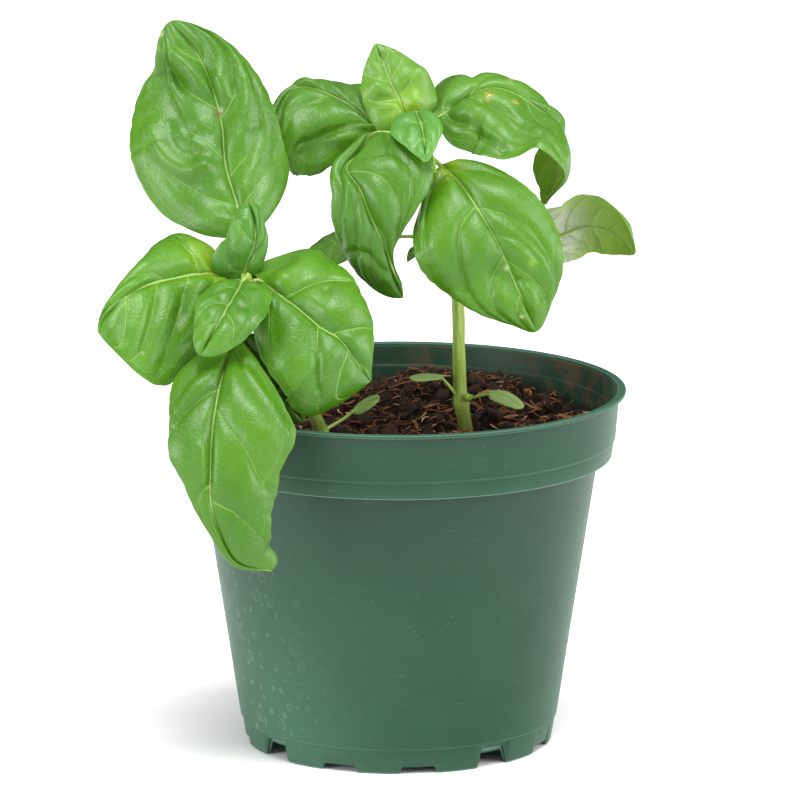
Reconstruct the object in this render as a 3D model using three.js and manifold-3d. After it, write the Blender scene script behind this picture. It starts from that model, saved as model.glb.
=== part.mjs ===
// A potted basil plant: two leafy shoots growing in soil in a moulded plastic nursery pot.
// Millimetres, +Z up. X runs to the right and Y to the back, seen from the front.
// The plant is laid out round the pot's axis, with Z = 0 at the bottom of the pot's feet. At the
// end the whole plant is moved sideways so that the origin is the bottom centre of its own box.
import * as THREE from "three";
import { mergeVertices } from "three/addons/utils/BufferGeometryUtils.js";
import Module from "manifold-3d";

const wasm = await Module();
wasm.setup();

// ---------------------------------------------------------------- driving dimensions
// Pot: outer radius and height at each change of its outline.
const FOOT_RADIUS = 52.4;
const SEAM_RADIUS = 53.8;
const SEAM_HEIGHT = 8.3;
const SEAM_STEP = 0.5;
const BODY_TOP_RADIUS = 68.2;
const COLLAR_BOTTOM = 99.3;
const COLLAR_RADIUS = 72.8;
const COLLAR_ROUND = 0.5;
const RIDGE_RADIUS = 73.5;
const RIDGE_HEIGHT = 105;
const RIDGE_STEP = 0.5;
const LIP_UNDERSIDE = 120.9;
const COLLAR_TOP_RADIUS = 75.3;
const LIP_RADIUS = 77.5;
const LIP_ROUND = 0.3;
const LIP_TOP_WIDTH = 2.8;
const LIP_DIP = 1.1;
const POT_HEIGHT = 122.1;
const WALL = 1.8;
const FLOOR_TOP = 8.5;
const FLOOR_UNDERSIDE = 7;
const INNER_STEP_HEIGHT = 114.7;
const INNER_STEP = 0.5;
const POT_SIDES = 60;

// Pot foot: tabs and the gaps between them. Angles are from the front, positive to the right.
const TAB_COUNT = 12;
const FIRST_GAP_ANGLE = -52.5;
const GAP_WIDTH = 13.4;
const GAP_TAPER = 1.1;
const NOTCH_HEIGHT = 2.2;
const SLOT_HEIGHT = 6.5;
const SLOT_EVERY = 3;
const DRAIN_LENGTH = 8;
const DRAIN_WIDTH = 9;
const DRAIN_CENTRE_RADIUS = 44;

// Soil surface: its height on the pot's axis, slopes, rise at the wall and mound.
const SOIL_LEVEL = 105;
const SOIL_SLOPE_X = 0.035;
const SOIL_SLOPE_Y = 0.012;
const SOIL_WALL_RISE = 1.5;
const MOUND = { x: 13, y: 45, height: 11, spread: 20 };
const SOIL_LOW_EDGE = 102.5;
const SOIL_RINGS = 9;
const SOIL_SIDES = 30;

// Clearance between separate pieces that touch in the real plant.
const SEAT_GAP = 0.3;

// Leaves.
const BLADE_THICKNESS = 0.8;
const LEAST_HALF_WIDTH = 0.5;
const WAVE_FULL_WIDTH = 8;
const LEFT_WAVE_SHIFT = 1.37;
const PETIOLE_SIDES = 6;
const PETIOLE_ROWS = 8;
const PETIOLE_TAPER = [1, 0.9, 0.8, 0.5];
const PETIOLE_RUN = 0.4;
const DEFAULT_STIFFNESS = 0.5;
const LARGE = { rows: 14, columns: 4, petiole: 1.0 };
const SMALL = { rows: 9, columns: 3, petiole: 0.8 };
const TINY = { rows: 6, columns: 2, petiole: 0.6 };
const SAME_BOTH_SIDES = { rise: 10, droop: 30 };

// Stems: centre line from under the soil to the growing tip, and radius along it.
const STEM_SIDES = 8;
const STEMS = {
  stem_right: {
    line: [
      [24.2, 2.5, 92], [23, 2, 106.5], [21.3, 1.5, 117.5], [20.5, 1, 135], [20.3, 0, 149],
      [19, -1, 163], [16.5, -1, 172], [11.5, -2, 190.5], [6, -3, 204.5], [3.3, -4, 212.5],
    ],
    radii: [2.5, 2.3, 2.1, 2.0, 1.9, 1.8, 1.6],
    tip: [3.2, -4, 215.5],
  },
  stem_left: {
    line: [
      [-24.5, -5.5, 92], [-26, -8, 107], [-28.5, -12, 115], [-36.5, -24, 136.5], [-46, -33.5, 155.5],
      [-50.5, -38, 166],
    ],
    radii: [2.4, 2.3, 2.1, 2.0, 1.9, 1.8, 1.6],
    tip: [-50.8, -38.3, 168.5],
  },
};
const STEM_ROWS = 28;
const SQUARENESS = 0.07;
const TIP_RADIUS = 0.5;

// Each leaf:
//   stem, petiole  the stem that it grows on, and the petiole's line from that stem to the blade
//   midrib         the blade's centre line, from its base to its tip
//   face           where the upper side looks, from base to tip
//   left, right    half widths at 1/15, 1/4, 1/2, 3/4 and 14/15 of the midrib, looking at the
//                  upper side with the tip up
//   bend           for each half, the slope up from the midrib and the slope down at the margin,
//                  in degrees; a list runs from base to tip
//   wave           height of the margin's waves, waves per blade, and where they start
//   stiff          how far the veins keep square to the blade and not to its curved midrib
//   nicks          cuts in the margin: side, place along the blade, depth and spread
const LEAVES = {
  leaf_r_top_back: {
    stem: "stem_right", size: SMALL, colour: 0x86bd55,
    petiole: [[3.5, -3.8, 211.5], [3, -1.8, 214]],
    midrib: [[2.4, -2.2, 215.4], [0, -1, 222], [-3, 1, 228], [-5.5, 4, 234.2], [-7.8, 6, 239.5]],
    face: [[0.05, -1, 0.25], [0, -1, 0.1]],
    left: [10, 12, 11, 7.5, 2.5],
    right: [11.5, 13.5, 13, 8.3, 3],
    bend: [{ rise: 15, droop: 30 }, { rise: 15, droop: 40 }],
    wave: [1, 2.5, 0.1],
  },
  leaf_r_top_front: {
    stem: "stem_right", size: SMALL, colour: 0x72b666,
    petiole: [[3.5, -3.9, 211.5], [5.2, -6.2, 215.2]],
    midrib: [[6, -7, 218.5], [7.5, -14, 216], [8.5, -21, 212], [9, -28, 205]],
    face: [[-0.1, -0.7, 0.7], [0, -0.95, 0.3]],
    left: [3.5, 6, 7, 4.5, 2],
    right: [8, 10, 11, 6.5, 2],
    bend: [{ rise: 30, droop: 30 }, { rise: 30, droop: 20 }],
  },
  leaf_r_upper_left: {
    stem: "stem_right", size: LARGE, colour: 0x6fb348,
    petiole: [[4.6, -3.6, 208], [-0.5, -2.6, 209.5]],
    midrib: [
      [-6.5, -2, 211.5], [-17, 6, 219], [-28.5, 11, 223.5], [-33.5, 11, 224], [-38.5, 9, 221.5],
      [-41.5, 6, 215], [-43.5, 4, 208.5],
    ],
    face: [[-0.05, -0.75, 0.65], [-0.1, -0.7, 0.7], [-0.5, -0.6, 0.6], [-0.9, -0.4, 0.1]],
    left: [2.8, 15.5, 32, 28, 10],
    right: [9, 15.5, 9, 5.5, 5],
    bend: [{ rise: 10, droop: 56 }, { rise: [15, 5, 0, 0], droop: [20, 70, 110, 110] }],
    wave: [1.2, 2, 0.2],
    stiff: 0.85,
  },
  leaf_r_front_left: {
    stem: "stem_right", size: LARGE, colour: 0x67ad44,
    petiole: [[4.2, -4.2, 210], [-1.5, -7.5, 211]],
    midrib: [
      [-8, -8, 211.5], [-13, -15, 207.3], [-17.5, -22, 202], [-13, -28, 196], [-9.8, -30, 188],
      [-5, -30, 177], [1.3, -26, 158.5],
    ],
    face: [[-0.35, -0.55, 0.8], [-0.1, -0.85, 0.5], [-0.1, -1, 0.2], [0, -1, 0.1]],
    left: [18, 30.5, 22.5, 2.6, 1.3],
    right: [4.2, 5.2, 14.2, 15.8, 9.4],
    bend: [{ rise: 10, droop: 30 }, { rise: 15, droop: 60 }],
    wave: [1, 2.2, 0],
  },
  leaf_r_front: {
    stem: "stem_right", size: LARGE, colour: 0x69ae45,
    petiole: [[6.4, -3.4, 203], [10, -8.5, 203.5]],
    midrib: [
      [14.5, -12, 201], [19.8, -20, 197.5], [26, -28, 190], [32.5, -32, 179.5], [38.5, -34, 166.5],
      [46.2, -34, 148.5],
    ],
    face: [[-0.2, -0.7, 0.7], [0, -0.95, 0.35], [0.05, -1, 0.15]],
    left: [9, 16, 21, 18.5, 7.3],
    right: [9, 22.2, 26, 18.3, 6],
    bend: [{ rise: 8, droop: 30 }, { rise: 8, droop: 30 }],
    wave: [1.2, 2.4, 0.3],
  },
  leaf_r_upper_right: {
    stem: "stem_right", size: LARGE, colour: 0x7ab84c,
    petiole: [[4, -4, 210.5], [9, -2.8, 213.5]],
    midrib: [
      [14, -2, 216], [24, 2, 223], [32, 4, 225], [39.5, 4, 223], [46.8, 3, 218.3], [54, 1, 212.5],
      [55, -1, 204], [54, -2, 195.3], [49.7, -3, 186],
    ],
    face: [[0, -0.5, 0.87], [0.05, -0.5, 0.87], [0.5, -0.4, 0.77], [0.9, 0.3, 0.2], [0.6, 0.8, -0.1]],
    left: [22, 16.5, 11.5, 14.3, 5.4],
    right: [17, 26, 30, 20, 2.5],
    bend: [{ rise: 6, droop: 51 }, { rise: 6, droop: 50 }],
    wave: [1.2, 2.2, 0.1],
    nicks: [{ side: -1, at: 0.2, depth: 6, spread: 0.035 }],
  },
  leaf_r_low_right: {
    stem: "stem_right", size: LARGE, colour: 0x9bbf6a,
    petiole: [[16.5, -1, 172], [26, -0.5, 173]],
    midrib: [
      [36, 0, 171.5], [46.3, 4, 172], [55.8, 6, 174], [64.5, 6, 177.5], [73.5, 4, 175.3],
      [80.3, 1, 168.5],
    ],
    face: [[0, 0.75, 0.65], [0, 0.8, 0.6], [0.4, 0.7, 0.5], [0.6, 0.6, 0.5]],
    left: [9.3, 9.6, 13.2, 11.2, 5.4],
    right: [9, 21, 16.8, 16.5, 6.5],
    bend: [SAME_BOTH_SIDES, SAME_BOTH_SIDES],
    wave: [1, 2, 0.1],
  },
  leaf_r_low_left: {
    stem: "stem_right", size: SMALL, colour: 0x5f9c3c,
    petiole: [[16.5, -1, 172], [6, 1.5, 174]],
    midrib: [[-4.5, 4, 173.5], [-14, 5, 173], [-23, 6, 170], [-30.5, 5, 164.5], [-34.5, 3, 156.5]],
    face: [[0, -0.3, 0.95], [-0.6, -0.3, 0.75]],
    left: [5, 9, 11, 8, 3],
    right: [5, 9, 11, 8, 3],
    bend: [{ rise: 15, droop: 40 }, { rise: 15, droop: 30 }],
  },
  leaf_r_axil: {
    stem: "stem_right", size: TINY, colour: 0x6fae45,
    petiole: [[16.8, -1.2, 169.5], [12.5, -3, 171.5]],
    midrib: [[8.5, -4.5, 172], [5.5, -8, 171], [3, -12, 168]],
    face: [[-0.2, -0.8, 0.6], [-0.6, -0.8, 0.1]],
    left: [1.2, 2, 2.2, 1.5, 0.7],
    right: [1.2, 2, 2.2, 1.5, 0.7],
    bend: [{ rise: 10, droop: 20 }, { rise: 10, droop: 20 }],
  },
  seed_leaf_r_a: {
    stem: "stem_right", size: TINY, colour: 0x8fb860,
    petiole: [[21.5, 1.6, 116.5], [17, -1.2, 123]],
    midrib: [[14, -3, 126.6], [10.5, -4.5, 127.2], [7, -6, 127], [3.9, -7.2, 126.6]],
    face: [[0.05, 0, 1], [0, -0.1, 1]],
    left: [3, 4.5, 4.5, 4, 2.5],
    right: [3, 4.5, 4.5, 4, 2.5],
    bend: [{ rise: 5, droop: 20 }, { rise: 5, droop: 20 }],
  },
  seed_leaf_r_b: {
    stem: "stem_right", size: TINY, colour: 0x8fb860,
    petiole: [[21.5, 1.6, 116.5], [28, -3.5, 120]],
    midrib: [[31.8, -7, 121.3], [35, -9.5, 121.2], [38.5, -12.5, 120], [42, -16, 118.3]],
    face: [[0, -0.5, 0.85], [0.3, -0.6, 0.7]],
    left: [2.2, 3.2, 3.2, 2.6, 1.6],
    right: [2.4, 3.4, 3.4, 2.7, 1.6],
    bend: [{ rise: 5, droop: 20 }, { rise: 5, droop: 20 }],
  },
  leaf_l_back: {
    stem: "stem_left", size: LARGE, colour: 0x68aa40,
    petiole: [[-48.6, -36.1, 161.3], [-51.3, -31.2, 170.5]],
    midrib: [
      [-52, -30, 180.5], [-54, -25, 189.5], [-58, -17, 201.5], [-59.5, -10, 214.5], [-62.5, -5, 225.5],
      [-68, 0, 237], [-77, 4, 247.5],
    ],
    face: [[0, -0.95, 0.35], [0, -1, 0.1], [-0.05, -1, 0.1]],
    left: [15.7, 27, 34, 27.8, 10.4],
    right: [11.8, 21.9, 19.9, 14.5, 6.2],
    bend: [{ rise: 12, droop: 35 }, { rise: 12, droop: 45 }],
    wave: [1.2, 2.2, 0.1],
    nicks: [{ side: -1, at: 0.88, depth: 1.5, spread: 0.03 }],
  },
  leaf_l_outer: {
    stem: "stem_left", size: LARGE, colour: 0x6fb348,
    petiole: [[-49.9, -37.4, 164.2], [-53.6, -37.3, 166.8]],
    midrib: [
      [-57.5, -37, 167.5], [-65.3, -42, 170.3], [-74.3, -47, 169.5], [-83, -53, 168.5],
      [-90.5, -58, 165], [-97.8, -63, 158.5], [-99.5, -65, 154.7],
    ],
    face: [[0.1, -0.75, 0.65], [0.3, -0.8, 0.5], [0, -0.8, 0.5]],
    left: [8.4, 22.5, 32, 31.5, 18],
    right: [22, 19.8, 10.4, 4.9, 1.5],
    bend: [{ rise: 3, droop: 34 }, { rise: 16, droop: 58 }],
    wave: [1.2, 2.2, 0.1],
    stiff: 0.85,
  },
  leaf_l_inner: {
    stem: "stem_left", size: LARGE, colour: 0x6fb54a,
    petiole: [[-49.9, -37.4, 164.2], [-48, -38.8, 166.6]],
    midrib: [
      [-46, -40, 167], [-41, -46, 164.5], [-33.5, -51, 160], [-26, -55, 154.5], [-19, -57, 150],
      [-14, -57, 143], [-9.5, -56, 136],
    ],
    face: [[0.05, -0.7, 0.7], [0.1, -0.85, 0.5], [0.3, -0.9, 0.2]],
    left: [24.2, 26.2, 21.4, 13, 3.6],
    right: [6.5, 16.5, 23.8, 27.2, 22.3],
    bend: [{ rise: 12, droop: 35 }, { rise: 12, droop: 35 }],
    wave: [1.2, 2.2, 0.1],
  },
  leaf_l_front: {
    stem: "stem_left", size: LARGE, colour: 0x6aae42,
    petiole: [[-48.6, -36.1, 161.3], [-52.5, -43, 157]],
    midrib: [
      [-53, -47.5, 151.5], [-56, -60, 147], [-59.5, -74, 136.5], [-61.5, -82, 124.5], [-62, -86, 112],
      [-62, -87, 102], [-59.5, -87, 92.5], [-53.5, -86, 81.5], [-42, -84, 78],
    ],
    face: [[-0.1, -0.7, 0.7], [-0.1, -0.95, 0.3], [-0.1, -1, 0.1], [-0.1, -1, 0.1]],
    left: [2, 18, 28.6, 19, 10.5],
    right: [3.2, 16, 11.8, 3.6, 1.3],
    bend: [{ rise: 10, droop: 35 }, { rise: 12, droop: 12 }],
    wave: [1.2, 2.6, 0.1],
  },
  leaf_l_top_back: {
    stem: "stem_left", size: SMALL, colour: 0x67ae4c,
    petiole: [[-50.5, -38, 166.4], [-51.2, -36.2, 168.8]],
    midrib: [
      [-51.5, -38, 170.2], [-50.6, -39.5, 173], [-48, -40, 179.8], [-48, -38.5, 186],
      [-50.2, -35, 193],
    ],
    face: [[0.15, -0.9, 0.4], [0.1, -1, 0.1]],
    left: [11, 12, 10, 7.6, 3.8],
    right: [6, 5.5, 4.8, 3.5, 3.2],
    bend: [{ rise: 24, droop: 16 }, { rise: 10, droop: 48 }],
  },
  leaf_l_top_front: {
    stem: "stem_left", size: SMALL, colour: 0x6cb150,
    petiole: [[-50.5, -38, 166.4], [-51.4, -41.5, 168]],
    midrib: [[-52, -46, 168], [-54.5, -55, 165], [-57, -62, 162], [-60.5, -68, 156.5], [-65.5, -71, 148]],
    face: [[-0.1, -0.75, 0.65], [-0.1, -0.95, 0.3]],
    left: [10.8, 12.5, 13, 9.4, 5.2],
    right: [5.8, 10.5, 10.9, 7.7, 4],
    bend: [{ rise: 20, droop: 30 }, { rise: 20, droop: 30 }],
    wave: [1, 2.2, 0.1],
  },
  leaf_l_low: {
    stem: "stem_left", size: SMALL, colour: 0x4e9038,
    petiole: [[-46.5, -34, 156.5], [-49.5, -41, 153.5]],
    midrib: [[-52, -46, 149.5], [-45.5, -49, 142], [-39, -52, 132.5], [-32, -53, 121.5]],
    face: [[-0.1, -0.9, 0.4], [0, -1, 0.2]],
    left: [4, 7.5, 8, 6.5, 3],
    right: [4, 7.5, 8, 6.5, 3],
    bend: [SAME_BOTH_SIDES, SAME_BOTH_SIDES],
  },
  seed_leaf_l: {
    stem: "stem_left", size: TINY, colour: 0x8fb860,
    petiole: [[-26, -8.5, 108.5], [-19, -5, 112]],
    midrib: [[-15, -4, 115], [-11, -7, 118], [-6.5, -10, 120.5]],
    face: [[-0.1, -0.6, 0.8], [0, -0.7, 0.7]],
    left: [2, 2.8, 2.8, 2.5, 1.5],
    right: [2, 3.2, 3.2, 2.5, 1.5],
    bend: [{ rise: 5, droop: 20 }, { rise: 5, droop: 20 }],
  },
};

// ---------------------------------------------------------------- small helpers
const radians = THREE.MathUtils.degToRad;

function vector(point) {
  return new THREE.Vector3(...point);
}

// A closed mesh as a solid that can be joined and cut.
function solid(geometry) {
  const bare = geometry.clone();
  bare.deleteAttribute("normal");
  bare.deleteAttribute("uv");
  const merged = mergeVertices(bare, 1e-4);
  return new wasm.Manifold(
    new wasm.Mesh({
      numProp: 3,
      vertProperties: merged.attributes.position.array,
      triVerts: new Uint32Array(merged.index.array),
    }),
  );
}

// A solid as a geometry for a mesh.
function geometryOf(shape) {
  const made = shape.getMesh();
  const geometry = new THREE.BufferGeometry();
  geometry.setAttribute("position", new THREE.BufferAttribute(made.vertProperties.slice(), 3));
  geometry.setIndex(new THREE.BufferAttribute(made.triVerts.slice(), 1));
  geometry.computeVertexNormals();
  return geometry;
}

function named(name, geometry, color, roughness) {
  const material = new THREE.MeshStandardMaterial({ color, roughness, metalness: 0 });
  const mesh = new THREE.Mesh(geometry, material);
  mesh.name = name;
  return mesh;
}

// A geometry from points and triangles of their numbers.
function indexed(points, triangles) {
  const geometry = new THREE.BufferGeometry().setFromPoints(points);
  geometry.setIndex(triangles.flat());
  return geometry;
}

// One value from a list spread evenly over 0 to 1.
function along(values, share) {
  const list = Array.isArray(values) ? values : [values];
  const place = THREE.MathUtils.clamp(share, 0, 1) * (list.length - 1);
  const before = Math.min(Math.floor(place), Math.max(list.length - 2, 0));
  const after = Math.min(before + 1, list.length - 1);
  return THREE.MathUtils.lerp(list[before], list[after], place - before);
}

function directionAlong(directions, share) {
  const part = (axis) => along(directions.map((one) => vector(one).normalize().getComponent(axis)), share);
  return new THREE.Vector3(part(0), part(1), part(2)).normalize();
}

// A closed tube with round-cornered square sections. Its radius runs through `radii`, and both of
// its ends run on by `overrun`.
function tube(points, radii, sides, rows, squareness = 0, overrun = 0) {
  const curve = new THREE.CatmullRomCurve3(points.map(vector), false, "centripetal");
  const centres = curve.getSpacedPoints(rows);
  const frames = curve.computeFrenetFrames(rows, false);
  centres[0].addScaledVector(frames.tangents[0], -overrun);
  centres[rows].addScaledVector(frames.tangents[rows], overrun);
  const ring = [];
  centres.forEach((centre, row) => {
    const radius = along(radii, row / rows);
    for (let side = 0; side < sides; side++) {
      const angle = (side / sides) * 2 * Math.PI;
      const reach = radius * (1 + squareness * Math.cos(4 * angle));
      ring.push(
        centre
          .clone()
          .addScaledVector(frames.normals[row], reach * Math.cos(angle))
          .addScaledVector(frames.binormals[row], reach * Math.sin(angle)),
      );
    }
  });
  const start = ring.push(centres[0]) - 1;
  const end = ring.push(centres[rows]) - 1;
  const triangles = [];
  for (let side = 0; side < sides; side++) {
    const next = (side + 1) % sides;
    for (let row = 0; row < rows; row++) {
      const here = row * sides;
      const there = here + sides;
      triangles.push([here + side, here + next, there + next], [here + side, there + next, there + side]);
    }
    triangles.push([start, next, side], [end, rows * sides + side, rows * sides + next]);
  }
  return indexed(ring, triangles);
}

// ---------------------------------------------------------------- pot
// Radius of the outside of the tapered body at a height.
function bodyRadius(height) {
  const share = (height - SEAM_HEIGHT) / (COLLAR_BOTTOM - SEAM_HEIGHT);
  return THREE.MathUtils.lerp(SEAM_RADIUS + SEAM_STEP, BODY_TOP_RADIUS, share);
}

// Radius of the inside of the collar at a height.
function collarInside(height) {
  const share = (height - RIDGE_HEIGHT) / (LIP_UNDERSIDE - RIDGE_HEIGHT);
  return THREE.MathUtils.lerp(RIDGE_RADIUS + RIDGE_STEP, COLLAR_TOP_RADIUS, share) - WALL;
}

function potShell() {
  const ledge = COLLAR_BOTTOM + WALL;
  const profile = [
    [0, FLOOR_UNDERSIDE],
    [FOOT_RADIUS - WALL, FLOOR_UNDERSIDE],
    [FOOT_RADIUS - WALL, 0],
    [FOOT_RADIUS, 0],
    [SEAM_RADIUS, SEAM_HEIGHT],
    [SEAM_RADIUS + SEAM_STEP, SEAM_HEIGHT + SEAM_STEP],
    [BODY_TOP_RADIUS, COLLAR_BOTTOM],
    [COLLAR_RADIUS - COLLAR_ROUND, COLLAR_BOTTOM],
    [COLLAR_RADIUS, COLLAR_BOTTOM + COLLAR_ROUND],
    [RIDGE_RADIUS, RIDGE_HEIGHT],
    [RIDGE_RADIUS + RIDGE_STEP, RIDGE_HEIGHT + RIDGE_STEP],
    [COLLAR_TOP_RADIUS, LIP_UNDERSIDE],
    [LIP_RADIUS - LIP_ROUND, LIP_UNDERSIDE],
    [LIP_RADIUS, LIP_UNDERSIDE + LIP_ROUND],
    [LIP_RADIUS, POT_HEIGHT - LIP_ROUND],
    [LIP_RADIUS - LIP_ROUND, POT_HEIGHT],
    [LIP_RADIUS - LIP_TOP_WIDTH, POT_HEIGHT],
    [LIP_RADIUS - LIP_TOP_WIDTH - LIP_ROUND, POT_HEIGHT - LIP_DIP],
    [collarInside(POT_HEIGHT - LIP_DIP) + INNER_STEP, POT_HEIGHT - LIP_DIP],
    [collarInside(INNER_STEP_HEIGHT) + INNER_STEP, INNER_STEP_HEIGHT],
    [collarInside(INNER_STEP_HEIGHT), INNER_STEP_HEIGHT - INNER_STEP],
    [collarInside(ledge), ledge],
    [bodyRadius(ledge) - WALL, ledge],
    [bodyRadius(FLOOR_TOP) - WALL, FLOOR_TOP],
    [0, FLOOR_TOP],
  ];
  const outline = profile.map(([radius, height]) => new THREE.Vector2(radius, height));
  return new THREE.LatheGeometry(outline, POT_SIDES).rotateX(Math.PI / 2);
}

// The space that one gap between two tabs takes out of the foot ring.
function footGap(angle, height) {
  const half = GAP_WIDTH / 2;
  const taper = height / NOTCH_HEIGHT > 2 ? GAP_TAPER : GAP_TAPER / 2;
  const outline = new THREE.Shape([
    new THREE.Vector2(-half, -1),
    new THREE.Vector2(half, -1),
    new THREE.Vector2(half - taper, height - taper),
    new THREE.Vector2(half - 2 * taper, height),
    new THREE.Vector2(-half + 2 * taper, height),
    new THREE.Vector2(-half + taper, height - taper),
  ]);
  const depth = 3 * WALL;
  return new THREE.ExtrudeGeometry(outline, { depth, bevelEnabled: false })
    .rotateX(Math.PI / 2)
    .translate(0, depth - FOOT_RADIUS - WALL, 0)
    .rotateZ(angle);
}

// A drain opening through the floor behind a tall slot.
function drain(angle) {
  return new THREE.BoxGeometry(DRAIN_WIDTH, DRAIN_LENGTH, 4 * WALL)
    .translate(0, -DRAIN_CENTRE_RADIUS, FLOOR_TOP)
    .rotateZ(angle);
}

function pot() {
  let shape = solid(potShell());
  for (let tab = 0; tab < TAB_COUNT; tab++) {
    const angle = radians(FIRST_GAP_ANGLE + (tab * 360) / TAB_COUNT);
    const tall = tab % SLOT_EVERY === 0;
    shape = shape.subtract(solid(footGap(angle, tall ? SLOT_HEIGHT : NOTCH_HEIGHT)));
    if (tall) shape = shape.subtract(solid(drain(angle)));
  }
  return named("pot", geometryOf(shape), 0x457359, 0.45);
}

// ---------------------------------------------------------------- stems
function stemSolid(stem, grow) {
  const radii = [];
  for (let row = 0; row < STEM_ROWS; row++) radii.push(along(stem.radii, row / STEM_ROWS) + grow);
  radii.push(TIP_RADIUS + grow);
  return solid(tube([...stem.line, stem.tip], radii, STEM_SIDES, STEM_ROWS, SQUARENESS, grow));
}

// ---------------------------------------------------------------- soil
function soilHeight(x, y) {
  const slope = SOIL_SLOPE_X * x + SOIL_SLOPE_Y * y;
  const wall = SOIL_WALL_RISE * (Math.hypot(x, y) / collarInside(SOIL_LEVEL)) ** 6;
  const away = ((x - MOUND.x) ** 2 + (y - MOUND.y) ** 2) / (2 * MOUND.spread ** 2);
  const lumps = 0.7 * Math.sin(0.31 * x + 0.9) * Math.cos(0.27 * y) + 0.5 * Math.sin(0.21 * x - 0.37 * y);
  return SOIL_LEVEL + slope + wall + MOUND.height * Math.exp(-away) + lumps;
}

function soilBlock() {
  const ledge = COLLAR_BOTTOM + WALL + SEAT_GAP;
  const rings = [
    [bodyRadius(FLOOR_TOP) - WALL - SEAT_GAP, () => FLOOR_TOP + SEAT_GAP],
    [bodyRadius(ledge) - WALL - SEAT_GAP, () => ledge],
    [collarInside(ledge) - SEAT_GAP, () => ledge],
  ];
  const edge = collarInside(SOIL_LOW_EDGE) - SEAT_GAP;
  for (let ring = SOIL_RINGS; ring > 0; ring--) rings.push([(edge * ring) / SOIL_RINGS, soilHeight]);
  const points = [];
  rings.forEach(([radius, height]) => {
    for (let side = 0; side < SOIL_SIDES; side++) {
      const angle = (side / SOIL_SIDES) * 2 * Math.PI;
      const [x, y] = [radius * Math.cos(angle), radius * Math.sin(angle)];
      points.push(new THREE.Vector3(x, y, height(x, y)));
    }
  });
  const bottom = points.push(new THREE.Vector3(0, 0, FLOOR_TOP + SEAT_GAP)) - 1;
  const top = points.push(new THREE.Vector3(0, 0, soilHeight(0, 0))) - 1;
  const last = (rings.length - 1) * SOIL_SIDES;
  const triangles = [];
  for (let side = 0; side < SOIL_SIDES; side++) {
    const next = (side + 1) % SOIL_SIDES;
    for (let here = 0; here < last; here += SOIL_SIDES) {
      const there = here + SOIL_SIDES;
      triangles.push([here + side, here + next, there + next], [here + side, there + next, there + side]);
    }
    triangles.push([bottom, next, side], [top, last + side, last + next]);
  }
  return indexed(points, triangles);
}

function soil() {
  let shape = solid(soilBlock());
  for (const stem of Object.values(STEMS)) shape = shape.subtract(stemSolid(stem, SEAT_GAP));
  return named("soil", geometryOf(shape), 0x3b2a20, 0.95);
}

// ---------------------------------------------------------------- leaves
// Half width at a share of the blade's length: a smooth curve through the five given widths, with
// their places packed towards both ends so that the blade closes roundly.
function halfWidth(widths, share) {
  const knots = [-widths[0], 0, ...widths, 0, -widths[4]];
  const place = (Math.acos(1 - 2 * THREE.MathUtils.clamp(share, 0, 1)) / Math.PI) * 6;
  const knot = Math.min(Math.floor(place), 5);
  const [a, b, c, d] = knots.slice(knot, knot + 4);
  const t = place - knot;
  const square = (2 * a - 5 * b + 4 * c - d) * t * t;
  const cube = (3 * b - a - 3 * c + d) * t ** 3;
  return Math.max((2 * b + (c - a) * t + square + cube) / 2, LEAST_HALF_WIDTH);
}

// Sideways and upward reach, for a half width of 1, of a section that leaves the midrib at `rise`
// and turns evenly to end at -`droop`.
function section(rise, droop, v) {
  const turn = rise + droop;
  const slope = rise - turn * v;
  return [(Math.sin(rise) - Math.sin(slope)) / turn, (Math.cos(slope) - Math.cos(rise)) / turn];
}

// Middle surface of a blade, as rows of points from its left margin over the midrib to its right.
function bladeRows(leaf) {
  const { rows, columns } = leaf.size;
  const curve = new THREE.CatmullRomCurve3(leaf.midrib.map(vector), false, "centripetal");
  const centres = curve.getSpacedPoints(rows);
  const chord = centres[rows].clone().sub(centres[0]).normalize();
  const stiff = leaf.stiff ?? DEFAULT_STIFFNESS;
  const [waveHeight, waves, waveStart] = leaf.wave ?? [0, 0, 0];
  return centres.map((centre, row) => {
    const share = row / rows;
    const after = centres[Math.min(row + 1, rows)];
    const tangent = after.clone().sub(centres[Math.max(row - 1, 0)]).normalize();
    const forward = tangent.multiplyScalar(1 - stiff).addScaledVector(chord, stiff).normalize();
    const face = directionAlong(leaf.face, share);
    face.addScaledVector(forward, -face.dot(forward)).normalize();
    const across = new THREE.Vector3().crossVectors(forward, face);
    const points = [];
    for (let column = -columns; column <= columns; column++) {
      const side = Math.sign(column);
      const v = Math.abs(column) / columns;
      const bend = leaf.bend[side < 0 ? 0 : 1];
      let width = halfWidth(side < 0 ? leaf.left : leaf.right, share);
      const nicks = (leaf.nicks ?? []).filter((nick) => nick.side === side);
      for (const nick of nicks) width -= nick.depth * Math.exp(-(((share - nick.at) / nick.spread) ** 2));
      const [out, up] = section(radians(along(bend.rise, share)), radians(along(bend.droop, share)), v);
      const phase = waveStart * (side > 0 ? 1 : LEFT_WAVE_SHIFT);
      const height = waveHeight * v * v * Math.min(1, width / WAVE_FULL_WIDTH);
      const wave = height * Math.sin(2 * Math.PI * (waves * share + phase));
      points.push(
        centre
          .clone()
          .addScaledVector(across, side * width * out)
          .addScaledVector(face, width * up + wave),
      );
    }
    return points;
  });
}

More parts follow.
